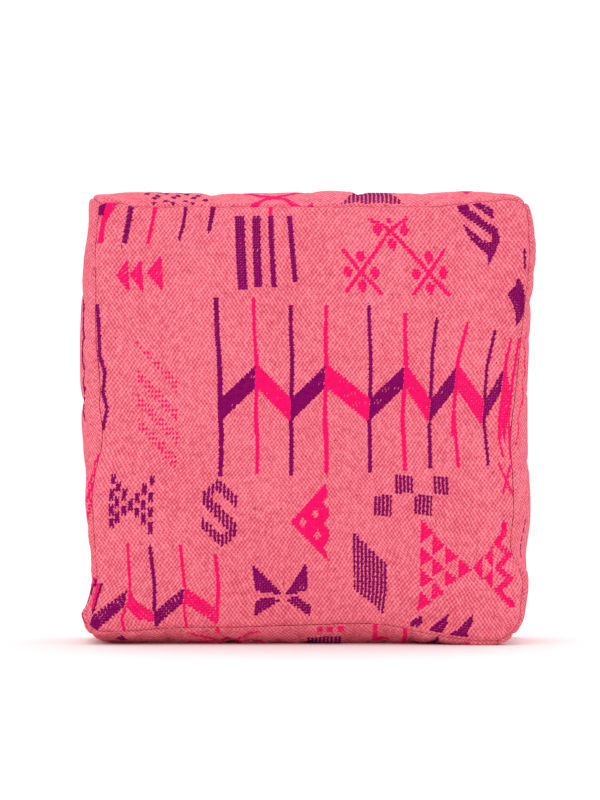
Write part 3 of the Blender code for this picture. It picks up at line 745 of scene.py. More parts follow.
class Figures:
    """What each colour covers, sampled along rows of brocade. Points are (threads along, threads across)."""

    def __init__(self, columns, rows):
        a = (np.arange(SAMPLES * columns) + 0.5) / SAMPLES
        self.rows_b = (np.arange(round(rows / BROCADE_ROW)) + 0.5) * BROCADE_ROW
        self.a, self.b = np.meshgrid(a, self.rows_b, indexing="ij")
        self.row = np.floor(self.b / BROCADE_ROW)
        self.on = {PINK: np.zeros(self.a.shape, bool), PURPLE: np.zeros(self.a.shape, bool)}

    def see(self, panel):
        """Take the places as shares of the way between the panel's seams, as seen from the camera."""

        def seen(points):
            x, y, z = np.moveaxis(points, -1, 0)
            near = CAMERA_DISTANCE / (CAMERA_DISTANCE + y)
            return (x - CAMERA_ASIDE) * near, (z - CAMERA_HEIGHT) * near

        place = panel.at(
            self.a.ravel() * PITCH - panel.side.half_a, self.b.ravel() * PITCH - panel.side.half_b
        )[0]
        x, z = seen(place)
        left, right, low, high = (
            np.interp(along, *np.array(SEEN_SEAMS[side]).T / 1000)
            for side, along in (("left", z), ("right", z), ("bottom", x), ("top", x))
        )
        self.a = ((x - left) / (right - left) * THREADS).reshape(self.a.shape)
        self.b = ((z - low) / (high - low) * THREADS).reshape(self.b.shape)

    def cover(self, colour, where):
        self.on[colour] |= where
        self.on[PURPLE if colour == PINK else PINK] &= ~where

    def inside(self, points):
        made = np.zeros(self.a.shape, bool)
        for (x0, y0), (x1, y1) in zip(points, points[1:] + points[:1]):
            crosses = (y0 > self.b) != (y1 > self.b)
            made ^= crosses & (self.a < (x1 - x0) * (self.b - y0) / ((y1 - y0) or 1e-9) + x0)
        return made

    def shape(self, colour, *points):
        self.cover(colour, self.inside(list(points)))

    def hatched(self, colour, step, *points):
        """A shape in upright strokes, every so many threads from its left."""
        left = min(x for x, _ in points)
        self.cover(colour, self.inside(list(points)) & ((self.a - left) % step < 1.25))

    def dotted(self, colour, *points):
        """A shape in dots, smaller ones in every other row."""
        share = np.where(self.row % 2, 0.3, 0.56)
        self.cover(colour, self.inside(list(points)) & (self.a / 1.75 % 1 < share))

    def line(self, colour, width, *points):
        """Strokes that are as wide, in threads, measured across for upright ones and up for level ones."""
        where = np.zeros(self.a.shape, bool)
        for (x0, y0), (x1, y1) in zip(points, points[1:]):
            long = (x1 - x0) ** 2 + (y1 - y0) ** 2
            t = np.clip(((self.a - x0) * (x1 - x0) + (self.b - y0) * (y1 - y0)) / long, 0, 1)
            where |= np.hypot(self.a - x0 - t * (x1 - x0), self.b - y0 - t * (y1 - y0)) <= width / 2
        self.cover(colour, where)

    def clear(self, *points):
        where = self.inside(list(points))
        for grid in self.on.values():
            grid &= ~where


def lozenge(a, b, wide, tall):
    return (a - wide / 2, b), (a, b + tall / 2), (a + wide / 2, b), (a, b - tall / 2)


def leaf(a, b, wide, tall):
    """A lozenge with blunt corners."""
    w, t = wide / 2, tall / 2
    return (
        (a - w, b - 0.2 * t), (a - w, b + 0.3 * t), (a - 0.4 * w, b + t), (a + 0.3 * w, b + 0.9 * t),
        (a + w, b + 0.2 * t), (a + w, b - 0.3 * t), (a + 0.4 * w, b - t), (a - 0.2 * w, b - 0.9 * t),
    )


def block(a, b, wide, tall):
    left, right, low, high = a - wide / 2, a + wide / 2, b - tall / 2, b + tall / 2
    return (left, low), (left, high), (right, high), (right, low)


def flower(figures, a, b, arms, top=8.2):
    """A cross of arms with a leaf in each of its four gaps."""
    for end in arms:
        figures.line(PINK, 2.0, (a, b), end)
    for da, db in ((-0.6, top), (-6.4, 0), (7.0, -0.4), (1.0, -7.4)):
        wide, tall = (4.6, 6.4) if db != top else (0.56 * top, 0.78 * top)
        figures.shape(PINK, *leaf(a + da, b + db, wide, tall))


def strokes_at_top_seam(f):
    """Upper left: strokes that run into the top seam."""
    f.shape(PURPLE, (1, 209), (1, 216), (5, 216), (5, 209))
    f.shape(PINK, (5, 216), (12, 216), (8, 211), (5, 204), (4.5, 194.5), (2, 194.5), (3, 207))
    f.line(PURPLE, 2.8, (17.5, 216), (15.4, 195.5))
    f.line(PINK, 1.8, (29.6, 216), (27.0, 196))
    f.line(PURPLE, 1.5, (44.6, 216), (44.0, 207), (42.4, 199.8))
    f.line(PURPLE, 2.1, (58.4, 216), (57.0, 204.5))
    f.line(PINK, 1.7, (87.4, 216), (87.3, 213))


def three_triangles(f):
    """Three triangles in a row."""
    for apex, base, middle, tall in (
        (11.1, 17.0, 178.3, 17.6),
        (17.6, 23.9, 178.8, 17.2),
        (26.2, 33.8, 181.0, 19.0),
    ):
        f.shape(PINK, (apex, middle), (base, middle + tall / 2), (base + 0.6, middle - tall / 2))


def four_bars(f):
    """Four upright bars."""
    for top, foot, high, low, width in (
        (72.0, 74.2, 211.5, 174, 4.8),
        (80.2, 82.0, 212, 174.5, 4.0),
        (87.4, 89.8, 212, 174.5, 2.6),
        (96.8, 100.4, 212, 177.5, 2.5),
    ):
        half = width / 2
        f.shape(PURPLE, (top - half, high), (top + half, high), (foot + half, low), (foot - half, low))


def three_flowers(f):
    """Three flowers under a pointed line."""
    flower(f, 147.2, 204.8, ((133.0, 183.0), (167.0, 181.6), (136.9, 210.4), (155.3, 210.4)), top=4.6)
    flower(f, 133.0, 183.0, ((126.4, 173.2), (123.9, 194.1), (143.5, 172.0)))
    flower(f, 167.0, 181.6, ((177.4, 170.4), (173.6, 192.4), (160.1, 171.7)))


def ribbon_and_leaf(f):
    """A folded ribbon at the upper right, and a leaf under it."""
    f.shape(PURPLE, (188.3, 215.4), (193.1, 214.8), (198.8, 211.6), (199.6, 205.8), (194.7, 209.9))
    f.shape(
        PURPLE, (180.9, 214.8), (186.5, 214.9), (186.9, 212.8), (193.9, 206.6), (200.6, 201.6),
        (201.8, 197.0), (200.8, 193.6), (196.4, 184.0), (195.2, 189.6), (191.8, 192.4), (186.5, 198.1),
        (183.3, 205.6), (195.9, 194.6), (197.9, 196.4), (197.7, 198.6), (194.3, 201.4), (188.7, 206.0),
        (181.9, 211.4),
    )
    f.shape(
        PURPLE, (211.0, 177.9), (214.2, 174.2), (216.0, 164.5), (215.2, 158.0), (212.7, 153.0),
        (212.0, 159.0), (209.5, 165.2), (206.8, 169.1), (210.4, 173.4),
    )


def middle_bands(f):
    """The row of bands across the middle, with upright strokes."""
    upright = (
        (PURPLE, 2.5, (61.0, 168.7), (63.0, 140), (63.8, 110), (64.7, 78.2)),
        (PINK, 1.7, (79.8, 168.6), (81.8, 140), (82.2, 118), (83.5, 79.6)),
        (PURPLE, 2.0, (98.6, 165.5), (100.2, 140), (100.4, 112), (101.1, 78.8)),
        (PINK, 2.2, (116.5, 165.0), (117.4, 140), (118.0, 118), (119.4, 79.6)),
        (PURPLE, 1.8, (137.8, 165.5), (140.2, 140), (141.2, 115), (141.8, 80.1)),
        (PINK, 2.0, (156.3, 161.3), (158.0, 140), (158.4, 118), (159.9, 81.2)),
        (PURPLE, 1.8, (172.5, 157.8), (171.6, 140), (172.4, 118), (172.9, 83.1)),
        (PINK, 1.8, (188.0, 155.1), (184.6, 136), (184.8, 120), (187.4, 84.2)),
        (PURPLE, 1.6, (202.4, 151.8), (199.8, 134), (200.4, 118), (202.9, 86.3)),
        (PINK, 1.2, (210.9, 147.6), (208.6, 129.5)),
        (PINK, 1.3, (215.0, 147.6), (213.6, 127.5), (214.6, 88.9)),
    )
    for colour, width, *points in upright:
        f.line(colour, width, *points)
    nodes = (63.6, 82.2, 100.4, 118.0, 141.2, 158.6, 172.6, 185.0, 200.4, 209.4)
    high, low, thick = 135.4, 117.2, 11.8
    for n, (left, right) in enumerate(zip(nodes, nodes[1:])):
        from_b, to_b, colour = (low, high, PURPLE) if n % 2 == 0 else (high, low, PINK)
        f.shape(colour, (left, from_b), (right, to_b), (right, to_b - thick), (left, from_b - thick))
    f.shape(PINK, (209.4, 135), (212.6, 124), (214.5, 112), (211.5, 96), (209.6, 112))
    for a in nodes[1::2]:
        f.line(PINK, 1.8, (a, 140), (a, 100))


def dotted_bands(f):
    """Four dotted bands on the left."""
    for top, foot, top_right, foot_right in (
        (146.4, 144.6, 127.0, 118.2),
        (132.8, 125.6, 111.0, 104.4),
        (119.6, 113.2, 99.4, 92.6),
        (107.6, 101.6, 87.4, 80.2),
    ):
        f.dotted(PINK, (20.6, top), (41.6, top_right), (41.6, foot_right), (20.6, foot))


def bow_of_crosses(f):
    """A bow of small crosses, lower left."""
    crosses = (
        (9.9, (76.2, 68.6, 61.2, 54.4)),
        (12.8, (72.6, 64.8, 57.4)),
        (16.3, (68.4, 60.6)),
        (19.7, (63.2,)),
        (23.0, (66.8, 59.4)),
        (26.3, (71.0, 63.2, 56.0)),
        (29.8, (75.0, 67.0, 59.0, 51.0)),
    )
    for a, rows in crosses:
        for b in rows:
            f.shape(PURPLE, *block(a, b, 2.4, 5.4))
            f.clear(*block(a, b + 2.3, 0.7, 1.2))
            f.clear(*block(a, b - 2.3, 0.7, 1.2))


def hooked_figure(f):
    """A hooked figure of upright dashes."""
    for points in (
        ((56.6, 69.4), (63.6, 76.4), (74.2, 66.8), (74.2, 60.4), (63.9, 70.0), (60.2, 66.8), (60.2, 61.0),
         (56.6, 62.4)),
        ((58.4, 67.4), (61.0, 66.2), (74.2, 53.4), (74.2, 46.4), (68.0, 50.8), (58.4, 61.0)),
        ((56.0, 56.8), (66.0, 47.4), (74.2, 53.2), (74.2, 46.8), (66.2, 41.0), (56.0, 50.6)),
    ):
        f.hatched(PURPLE, 2, *points)


def stepped_triangle(f):
    """A stepped triangle with three eyes."""
    f.shape(PINK, (101.2, 53.6), (118.9, 73.4), (120.2, 67.6), (117.3, 63.8), (120.6, 60.3), (121.0, 56.6),
            (118.0, 52.4), (121.4, 49.3), (121.1, 44.8), (118.5, 40.2), (121.9, 32.4))
    for a, b in ((107.7, 53.4), (114.0, 58.0), (115.2, 46.8)):
        f.clear(*lozenge(a, b, 4.2, 5.4))


def hatched_blocks(f):
    """Hatched blocks."""
    for left, right, high, low in (
        (154.7, 163.6, 77.6, 68.6),
        (174.6, 181.8, 78.6, 70.2),
        (143.8, 152.6, 67.4, 56.8),
        (164.4, 173.2, 68.2, 58.2),
    ):
        f.hatched(PURPLE, 2, (left, low), (left, high), (right, high), (right, low))


def slanted_figure(f):
    """A hatched slanted figure."""
    f.hatched(PURPLE, 2, (133.4, 48.6), (151.2, 31.6), (151.8, 5.4), (134.0, 18.6))


def bow_of_triangles(f):
    """A bow of triangles at the lower right."""
    for a, rows in (
        (168.2, ((55.2, 44.7), (41.6, 32.6), (30.4, 21.4), (19.4, 9.2))),
        (174.4, ((48.7, 39.1), (36.7, 28.4), (24.7, 16.0))),
        (181.0, ((43.2, 35.3), (31.6, 24.2))),
        (188.0, ((38.2, 29.2),)),
    ):
        for high, low in rows:
            f.shape(PINK, (a - 0.2, high + 0.6), (a - 0.2, low - 0.6), (a + 6.5, (high + low) / 2))
    for apex, base, high, low in (
        (195.4, 200.0, 40.4, 30.0),
        (201.2, 205.4, 46.6, 36.2),
        (201.4, 205.4, 35.4, 25.6),
    ):
        f.shape(PINK, (apex - 0.4, (high + low) / 2), (base, high + 0.6), (base, low - 0.6))
    f.line(
        PINK, 2.9, (210.3, 57.2), (210.8, 52.6), (206.9, 48.0), (213.4, 42.2), (207.9, 35.8),
        (214.6, 30.4), (207.8, 25.0), (216.4, 17.6),
    )


def four_wings(f):
    """Four wings meeting at a point."""
    for points in (
        ((81.6, 32.0), (82.9, 19.4), (86.0, 17.6), (97.6, 16.2), (88.1, 25.8)),
        ((109.4, 33.0), (110.3, 19.0), (107.0, 17.4), (98.8, 16.2), (104.0, 24.6)),
        ((84.1, 12.4), (84.2, 5.0), (97.4, 13.6), (88.0, 15.2)),
        ((112.6, 10.4), (113.2, 5.0), (99.2, 13.6), (105.2, 15.2)),
    ):
        f.shape(PURPLE, *points)


def lower_bands(f):
    """The row of bands at the lower left."""
    for colour, width, *points in (
        (PINK, 1.4, (18.2, 43.0), (18.6, 22.4)),
        (PURPLE, 1.9, (29.6, 41.3), (31.0, 25), (32.4, 9.0)),
        (PINK, 1.7, (45.2, 41.3), (46.7, 20.4)),
        (PINK, 1.9, (63.0, 36.7), (64.2, 20), (65.4, 2.0)),
        (PINK, 1.5, (17.6, 12), (16.0, 6), (18.0, 0)),
        (PINK, 1.5, (47.2, 12), (48.8, 4), (50.0, 0)),
        (PURPLE, 1.2, (4.0, 24.0), (0.8, 10.0)),
        (PINK, 1.2, (2.4, 24.0), (0.4, 12.0)),
    ):
        f.line(colour, width, *points)
    f.shape(PURPLE, (0.6, 8.0), (17.4, 20.4), (17.0, 12.4), (2.2, 0.0), (0.2, 4.0))
    f.shape(PINK, (18.4, 22.4), (22.0, 15.0), (32.4, 7.6), (32.6, 3.0), (24.0, 5.6), (18.0, 12.4))
    f.shape(PURPLE, (32.2, 7.6), (46.8, 20.0), (46.8, 12.2), (33.6, 0.0))
    f.shape(PINK, (46.8, 20.4), (65.2, 8.8), (65.6, 1.0), (47.2, 12.4))


def wedges_at_bottom_seam(f):
    """Three wedges that run into the bottom seam."""
    f.shape(PURPLE, (171.3, 7.4), (171.6, 3.5), (170.0, 0.9), (165.4, 1.2), (165.6, 3.4))
    f.shape(PURPLE, (184.4, 10.2), (184.6, 5.3), (182.9, 0.0), (175.0, 0.0))
    f.shape(PURPLE, (197.3, 12.2), (197.6, 7.4), (195.2, 1.4), (198.8, 0.0), (186.6, 0.0), (190.1, 2.4))


def strokes_at_side_seams(f):
    """Strokes beside the side seams."""
    f.line(PURPLE, 1.7, (1.6, 163), (2.6, 150), (2.2, 138), (4.4, 130), (3.0, 120), (5.0, 112), (2.6, 102))
    f.line(PINK, 1.2, (208.6, 86.6), (214.6, 71.2))
    f.line(PINK, 1.2, (214.4, 85.6), (209.4, 72.0))
    f.line(PINK, 1.2, (210.3, 112.5), (208.7, 100.3), (210.6, 90.0))
    f.line(PURPLE, 0.9, (213.4, 192), (214.6, 182))


def face_figures(f):
    for draw in (
        strokes_at_top_seam,
        three_triangles,
        four_bars,
        three_flowers,
        ribbon_and_leaf,
        middle_bands,
        dotted_bands,
        bow_of_crosses,
        hooked_figure,
        stepped_triangle,
        hatched_blocks,
        slanted_figure,
        bow_of_triangles,
        four_wings,
        lower_bands,
        wedges_at_bottom_seam,
        strokes_at_side_seams,
    ):
        draw(f)


def top_figures(f):
    for n, a in enumerate((28.5, 33, 38, 43, 48, 53)):
        for b in (4, 12, 20, 28, 36):
            f.shape(PURPLE, *lozenge(a + (2.2 if (b // 8 + n) % 2 else 0), b + (n % 2) * 3, 3.4, 5.6))
    for start in (-2, 22):
        f.line(PINK, 3.4, (77.5, start), (84, start + 8), (97, start + 16), (104, start + 24))
        f.line(PINK, 3.4, (77.5, start + 24), (84, start + 16), (97, start + 8), (104, start))
    f.shape(PINK, (107.5, 0), (110.5, 4), (110.5, 0))
    f.hatched(PURPLE, 2, (123.6, 2), (154.8, 2), (147, 20), (154.8, 40), (123.6, 40), (131.5, 20))
    f.shape(PINK, (178, 40), (191.5, 40), (185.5, 14))


def bottom_figures(f):
    f.shape(PURPLE, *lozenge(17, 9, 5.5, 9))
    f.line(PINK, 1.8, (50, 4), (67, 14), (84, 3))
    f.line(PINK, 1.8, (50, 15), (67, 12), (86, 14))
    f.line(PINK, 1.5, (64, 0), (64.2, 3))
    for a in (113, 118, 123.5):
        f.shape(PINK, (a, 1), (a + 3, 1), (a + 3, 5), (a, 5))
    f.hatched(PURPLE, 2, (108, 9), (125.5, 9), (125.5, 22), (108, 22))
    f.line(PINK, 2.2, (142.6, 1), (142.6, 15))
    f.line(PINK, 2.2, (157.6, 1), (157.6, 15))
    f.shape(PINK, (142.6, 10), (152, 14), (142.6, 17))
    f.line(PURPLE, 1.6, (174, 2), (173, 14))
    f.shape(PURPLE, (162, 16), (174, 9), (174, 16))
    f.line(PINK, 1.6, (189, 2), (189, 12))
    f.line(PURPLE, 1.6, (203.5, 4), (203.5, 14))


def left_figures(f):
    f.line(PURPLE, 2.2, (165, 14), (150, 12), (140, 15), (130, 17), (118, 14), (108, 17))
    for high in (90, 82.5, 75, 67.5):
        f.line(PINK, 1.6, (high, 0.0), (high - 8.5, 3.2))
    f.line(PURPLE, 1.7, (27, 0.5), (16, 4), (6, 5))
    f.line(PINK, 1.7, (28, 2), (20, 8), (12, 10), (4, 8))


def right_figures(f):
    for high in range(44, 64, 4):
        f.line(PURPLE, 1.2, (high, 12), (high - 2, 12))
    for high in range(22, 36, 3):
        f.line(PURPLE, 1.6, (high, 16), (high - 1.6, 16))
    f.line(PURPLE, 1.2, (196, 10), (182, 14))
    f.line(PINK, 1.4, (150, 4), (128, 7), (96, 5))


def floats(where, figures):
    """Each float's middle, half length and row, in threads: the runs along each row, cut into lengths."""
    made = []
    for row in range(where.shape[1]):
        steps = np.diff(np.concatenate(([0], where[:, row].astype(int), [0])))
        for low, high in zip(np.nonzero(steps > 0)[0] / SAMPLES, np.nonzero(steps < 0)[0] / SAMPLES):
            if high - low < SHORTEST_RUN:
                continue
            low, high = low - 0.2 * (row % 2), high + 0.25 * sin(2.6 * row + low)
            first = FLOAT * (floor(low / FLOAT) + 0.5 * (row % 2))
            cuts = np.arange(first, high, FLOAT)
            cuts = cuts[(low + SHORTEST_FLOAT < cuts) & (cuts < high - SHORTEST_FLOAT)]
            ends = [low, *cuts, high]
            made += [((c + d) / 2, (d - c) / 2, figures.rows_b[row]) for c, d in zip(ends, ends[1:])]
    return np.array(made)


def brocade(panel, colour, where, figures, material):
    """The raised floats of one colour on one panel, each a small closed pillow of yarn."""
    if not where.any():
        return None
    threads_a, half, threads_b = floats(where, figures).T
    short = (np.sin(threads_a * 12.9898 + threads_b * 78.233) * 43758.5453) % 1 < SHORT
    half = half - np.where(short & (half > 1.0), 0.55, 0)
    place, normal, across = panel.at(
        threads_a * PITCH - panel.side.half_a, threads_b * PITCH - panel.side.half_b
    )
    up = np.cross(normal, across)
    up *= np.sign((up * panel.side.b).sum(1, keepdims=True))
    count, sides = len(place), FLOAT_SIDES
    size = 2 * sides + 1
    points = np.zeros((count, size, 3))
    for ring, (share, rise) in enumerate(((1.0, -YARN_SUNK), (0.66, 0.75 * YARN_RISE))):
        for k in range(sides):
            angle = (k + 0.5) * 2 * pi / sides
            db = FLOAT_TALL * share * sin(angle) / sin(3 * pi / 8)
            da = (half + np.minimum(0.3, 0.3 * half)) * share * cos(angle) / cos(pi / 8) + 0.2 * db
            points[:, ring * sides + k] = place + PITCH * (da[:, None] * across + db * up) + rise * normal
    points[:, -1] = place + YARN_RISE * normal
    points[..., 2] = np.maximum(points[..., 2], 0.0)
    weave = np.repeat(np.stack((threads_a, threads_b, 0 * threads_a), -1), size, axis=0)
    rim, ring = list(range(sides)), list(range(sides, 2 * sides))
    one = [rim[::-1]]
    one += [[rim[k], rim[k - sides + 1], ring[k - sides + 1], ring[k]] for k in rim]
    one += [[ring[k], ring[k - sides + 1], 2 * sides] for k in rim]
    flip = runs_backwards(panel.side)
    faces = []
    for start in range(0, count * size, size):
        faces += [[start + c for c in (face[::-1] if flip else face)] for face in one]
    return new_piece(f"{panel.name}_{colour}", points.reshape(-1, 3), faces, material, weave=weave)


def add_cover():
    strips = {"top": top_figures, "bottom": bottom_figures, "left": left_figures, "right": right_figures}
    panels = [("face", SIDE["front"], "front_panel", face_figures)]
    panels += [(f"boxing_{name}_cover", SIDE[name], f"boxing_{name}", draw) for name, draw in strips.items()]
    for name, side, node, draw in panels:
        panel = Panel(name, side, KILIM)
        piece = closed_sheet(name, panel.outer, panel.inner, runs_backwards(side), KILIM_CLOTH, panel.weave)
        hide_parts(node)
        figures = Figures(THREADS, round(2 * side.half_b / PITCH))
        if name == "face":
            figures.see(panel)
        draw(figures)
        for colour, material in ((PINK, PINK_YARN), (PURPLE, PURPLE_YARN)):
            yarn = brocade(panel, colour, figures.on[colour], figures, material)


def add_back():
    for name, node, low, high in (
        ("back_canvas_upper", "back_panel_upper", ZIP_GAP_HALF, None),
        ("back_canvas_lower", "back_panel_lower", None, -ZIP_GAP_HALF),
    ):
        panel = Panel(name, SIDE["back"], CANVAS, low, high)
        flip = runs_backwards(panel.side)
        piece = closed_sheet(name, panel.outer, panel.inner, flip, CANVAS_CLOTH, panel.weave)
        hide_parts(node)


# The pad inside: a foam core in wadding and a calico liner.

LINER = 0.0008
LAYER_GAP = 0.0006
WADDING_THICK = 0.014
PAD_RADIUS = 0.028
PAD_CELLS = 72
ROUND_FROM = 0.84  # share of a tray's grid that is its flat face
FACE_ROOM = 0.002  # what more the pad keeps from the face
ZIP_ROOM = 0.0055  # from the back's seam plane to where its clearance starts
LINER_UNEVEN = 0.0006
FILL_UNEVEN = 0.0016


def pad_points(inset, side):
    """A grid over one half of the pad: its flat face and then its rounded sides up to the middle."""
    half = np.array((FACE_HALF - KILIM - PAD_CLEAR - inset, 0.0, FACE_HALF - KILIM - PAD_CLEAR - inset))
    front = -DEPTH_HALF + KILIM + PAD_CLEAR + FACE_ROOM + inset
    back = DEPTH_HALF - ZIP_ROOM - PAD_CLEAR - inset
    middle, half[1] = (front + back) / 2, (back - front) / 2
    s, t = np.meshgrid(*[np.linspace(-1, 1, PAD_CELLS + 1)] * 2, indexing="ij")
    r = np.maximum(np.abs(s), np.abs(t))
    on_face = np.minimum(r, ROUND_FROM) / ROUND_FROM
    scale = on_face / np.maximum(r, 1e-9)
    down = np.clip((r - ROUND_FROM) / (1 - ROUND_FROM), 0, 1)
    flat = np.stack((s * scale * half[0], side * half[1] * (1 - down), t * scale * half[2]), -1)
    radius = PAD_RADIUS - inset
    core = np.clip(flat, -(half - radius), half - radius)
    away = flat - core
    length = np.maximum(np.linalg.norm(away, axis=-1, keepdims=True), 1e-9)
    return core + away / length * radius + (0, middle, 0)


def pad_shape(inset, side, uneven, seed):
    points = pad_points(inset, side)
    made = stuffed(points)
    bumps = waves(points[..., 0] + 0.6 * points[..., 2], seed, (0.05, 0.083)) + waves(
        points[..., 2] - 0.5 * points[..., 0], seed + 2, (0.06, 0.11)
    )
    centre = np.array((0, DEPTH_SHIFT, FLOOR_FLAT))
    inwards = centre - made
    inwards /= np.linalg.norm(inwards, axis=-1, keepdims=True)
    return made + inwards * (uneven * (1 + 0.5 * np.clip(bumps, -2, 2)))[..., None]


def add_pad():
    gap = LAYER_GAP
    for name, side in (("front", -1), ("back", 1)):
        flip = side < 0
        outer, inner = (pad_shape(inset, side, LINER_UNEVEN, 1) for inset in (0.0, LINER))
        shift = np.array((0, side * gap / 2, 0))
        liner = closed_sheet(f"liner_{name}_cloth", outer + shift, inner + shift, flip, CALICO)
        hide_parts(f"liner_{name}")
        start = LINER + gap
        outer = pad_shape(start, side, LINER_UNEVEN, 1)
        inner = pad_shape(start + WADDING_THICK, side, FILL_UNEVEN, 2)
        wadding = closed_sheet(f"wadding_{name}_fill", outer + shift, inner + shift, flip, WADDING)
        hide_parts(f"wadding_{name}")
    start = LINER + 2 * gap + WADDING_THICK
    halves = [pad_shape(start, side, FILL_UNEVEN, 2) for side in (-1, 1)]
    foam = closed_sheet("foam_block", halves[1], halves[0], False, FOAM)
    merge = foam.modifiers.new("weld", "WELD")
    merge.merge_threshold = 1e-5
    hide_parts("foam_core")
    edge = pad_shape(LINER + gap / 2, 1, LINER_UNEVEN, 1)
    ring = np.concatenate((edge[:-1, 0], edge[-1, :-1], edge[:0:-1, -1], edge[0, :0:-1]))
    closing = tube("liner_closing_thread", ring, 0.0003, CALICO, closed=True)
    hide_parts("liner_seam_thread")


# Threads over the raw edges inside the seams.

EDGE_IN = 0.0094
THREAD = 0.0006
CORNER_SHORT = 0.0025  # how far a corner's thread ends before the rings'


def add_seam_threads():
    lines = np.linspace(-1, 1, 121)
    edge = FACE_HALF - EDGE_IN
    wobble = 0.0004 * np.sin(lines * 900)
    for name, depth in (("front", EDGE_IN - DEPTH_HALF), ("back", DEPTH_HALF - EDGE_IN)):
        runs = []
        for a, b in ((1, -1), (1, 1), (-1, 1), (-1, -1)):
            along = lines[:-1] * edge
            offset = edge + wobble[:-1]
            if (a, b) in ((1, -1), (-1, 1)):
                runs.append(np.stack((a * along, np.full_like(along, depth), b * offset), -1))
            else:
                runs.append(np.stack((a * offset, np.full_like(along, depth), a * along), -1))
        piece = tube(f"{name}_seam_overlock", stuffed(np.concatenate(runs)), THREAD, SEAM_THREAD, closed=True)
        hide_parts(f"{name}_seam_thread")
    reach = DEPTH_HALF - EDGE_IN - CORNER_SHORT
    run = np.linspace(-reach, reach, 40)
    for name, sx, sz in (
        ("top_left", -1, 1),
        ("top_right", 1, 1),
        ("bottom_left", -1, -1),
        ("bottom_right", 1, -1),
    ):
        points = np.stack((np.full_like(run, sx * edge), run, np.full_like(run, sz * edge)), -1)
        piece = tube(f"corner_overlock_{name}", stuffed(points), THREAD, SEAM_THREAD)
        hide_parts(f"corner_seam_thread_{name}")


# Zip.

COIL_PITCH = 0.0015
COIL_WIRE = 0.00034


def add_zip():
    for name in ("upper", "lower"):
        low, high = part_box(f"zip_coil_{name}")
        centre, half = (low + high) / 2, (high - low) / 2
        turns = int((high.x - low.x - 2 * COIL_WIRE) / COIL_PITCH)
        t = np.linspace(0, turns, turns * 8 + 1)
        x = low.x + COIL_WIRE + t * COIL_PITCH
        angle = 2 * pi * t + (0 if name == "upper" else pi)
        y = centre.y + (half.y - COIL_WIRE) * np.sin(angle)
        z = centre.z + (half.z - COIL_WIRE) * np.cos(angle)
        coil = tube(f"zip_teeth_{name}", np.stack((x, y, z), -1), COIL_WIRE, COIL_NYLON, sides=5)
        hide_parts(f"zip_coil_{name}")
        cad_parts[f"zip_tape_{name}"].data.materials[0] = TAPE_CLOTH
    for name in ("zip_top_stop_upper", "zip_top_stop_lower", "zip_bottom_stop", "zip_slider", "zip_pull"):
        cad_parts[name].data.materials[0] = ZIP_METAL
    add_topstitch()


STITCH = 0.0034
STITCH_GAP = 0.0009
STITCH_RADIUS = 0.0004


def add_topstitch():
    low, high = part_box("zip_topstitch")
    y = (low.y + high.y) / 2
    inset = STITCH_RADIUS
    x0, x1, z0, z1 = low.x + inset, high.x - inset, low.z + inset, high.z - inset
    runs = (((x0, z0), (x1, z0)), ((x1, z0), (x1, z1)), ((x1, z1), (x0, z1)), ((x0, z1), (x0, z0)))
    points, faces = [], []
    shape = ((0.0, -0.9, 0.35), (0.25, 0.1, 0.9), (0.5, 0.35, 1.0), (0.75, 0.1, 0.9), (1.0, -0.9, 0.35))
    sides = 6
    for (xa, za), (xb, zb) in runs:
        long = abs(xb - xa) + abs(zb - za)
        count = int(long / (STITCH + STITCH_GAP))
        ahead = Vector((xb - xa, 0, zb - za)).normalized()
        aside = ahead.cross(Vector((0, 1, 0)))
        for k in range(count):
            start = Vector((xa, y, za)) + ahead * (k * long / count + STITCH_GAP / 2)
            base = len(points)
            for share, rise, size in shape:
                centre = start + ahead * STITCH * share + Vector((0, rise * STITCH_RADIUS * 0.4, 0))
                for side in range(sides):
                    angle = 2 * pi * side / sides
                    offset = aside * cos(angle) + Vector((0, 1, 0)) * sin(angle)
                    points.append(centre + offset * STITCH_RADIUS * size * 0.75)
            for ring in range(len(shape) - 1):
                here, there = base + ring * sides, base + (ring + 1) * sides
                for side in range(sides):
                    after = (side + 1) % sides
                    faces.append([here + side, there + side, there + after, here + after])
            faces.append([base + side for side in range(sides)])
            last = base + (len(shape) - 1) * sides
            faces.append([last + side for side in reversed(range(sides))])
    stitches = new_piece("zip_stitches", [tuple(p) for p in points], faces, STITCH_THREAD)
    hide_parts("zip_topstitch")


add_cover()
add_back()
add_pad()
add_seam_threads()
add_zip()


# Studio.

FLOOR_HALF = 40.0
SKY_STRENGTH = 1.08
CLEAR_STRENGTH = 1.1  # of the sky that the camera sees
FLOOR_WHITE = (0.95, 0.95, 0.95)


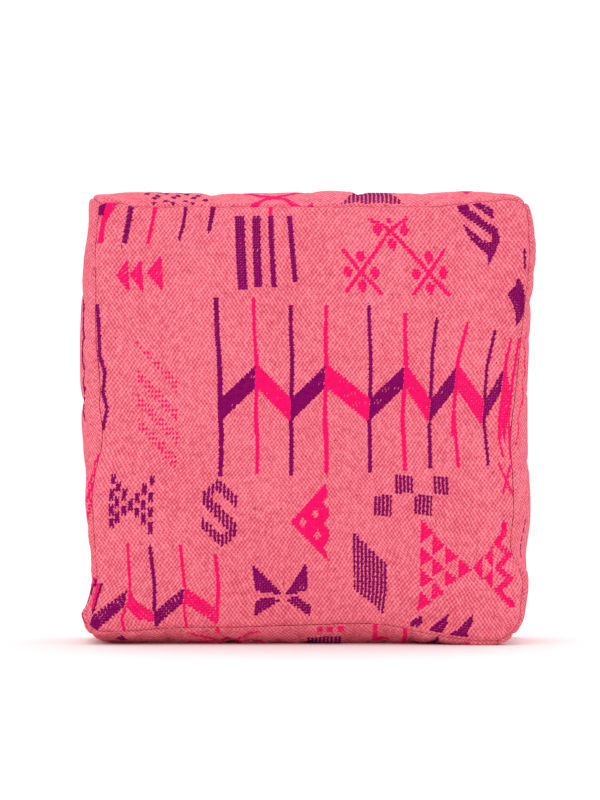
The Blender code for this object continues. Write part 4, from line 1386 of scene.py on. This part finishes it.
def add_floor():
    mesh = bpy.data.meshes.new("floor")
    corners = [(FLOOR_HALF * x, FLOOR_HALF * y, 0) for x, y in ((-1, -1), (1, -1), (1, 1), (-1, 1))]
    mesh.from_pydata(corners, [], [(0, 1, 2, 3)])
    floor_plane = bpy.data.objects.new("floor", mesh)
    bpy.context.scene.collection.objects.link(floor_plane)
    n = Nodes("floor_white")
    mesh.materials.append(n.finish(FLOOR_WHITE, 0.9, Specular_IOR_Level=0.0))


def add_sky():
    """Soft white light from all round, a little brighter where the camera sees it."""
    world = bpy.data.worlds.new("studio")
    bpy.context.scene.world = world
    world.use_nodes = True
    nodes, links = world.node_tree.nodes, world.node_tree.links
    sky, clear = nodes["Background"], nodes.new("ShaderNodeBackground")
    for light, strength in ((sky, SKY_STRENGTH), (clear, CLEAR_STRENGTH)):
        light.inputs["Color"].default_value = (1, 1, 1, 1)
        light.inputs["Strength"].default_value = strength
    path, mix = nodes.new("ShaderNodeLightPath"), nodes.new("ShaderNodeMixShader")
    links.new(path.outputs["Is Camera Ray"], mix.inputs[0])
    links.new(sky.outputs[0], mix.inputs[1])
    links.new(clear.outputs[0], mix.inputs[2])
    links.new(mix.outputs[0], nodes["World Output"].inputs["Surface"])


def add_lamp(name, place, aim, size, power):
    data = bpy.data.lights.new(name, "AREA")
    data.shape = "SQUARE"
    data.size = size
    data.energy = power
    obj = bpy.data.objects.new(name, data)
    obj.location = place
    obj.rotation_euler = (Vector(aim) - Vector(place)).to_track_quat("-Z", "Y").to_euler()
    bpy.context.scene.collection.objects.link(obj)


def add_camera():
    data = bpy.data.cameras.new("camera")
    data.sensor_width = 36
    data.lens = CAMERA_LENS
    camera = bpy.data.objects.new("camera", data)
    camera.location = (CAMERA_ASIDE, -CAMERA_DISTANCE, CAMERA_HEIGHT)
    camera.rotation_euler = (pi / 2, 0, 0)
    bpy.context.scene.collection.objects.link(camera)
    bpy.context.scene.camera = camera


add_floor()
add_sky()
add_lamp("key", (-0.9, -1.9, 2.8), (0, 0, 0.35), 1.2, 9)
add_lamp("top", (0.3, 0.9, 2.6), (0, 0, 0.3), 1.5, 12)
add_camera()
bpy.context.scene.view_settings.view_transform = "Standard"
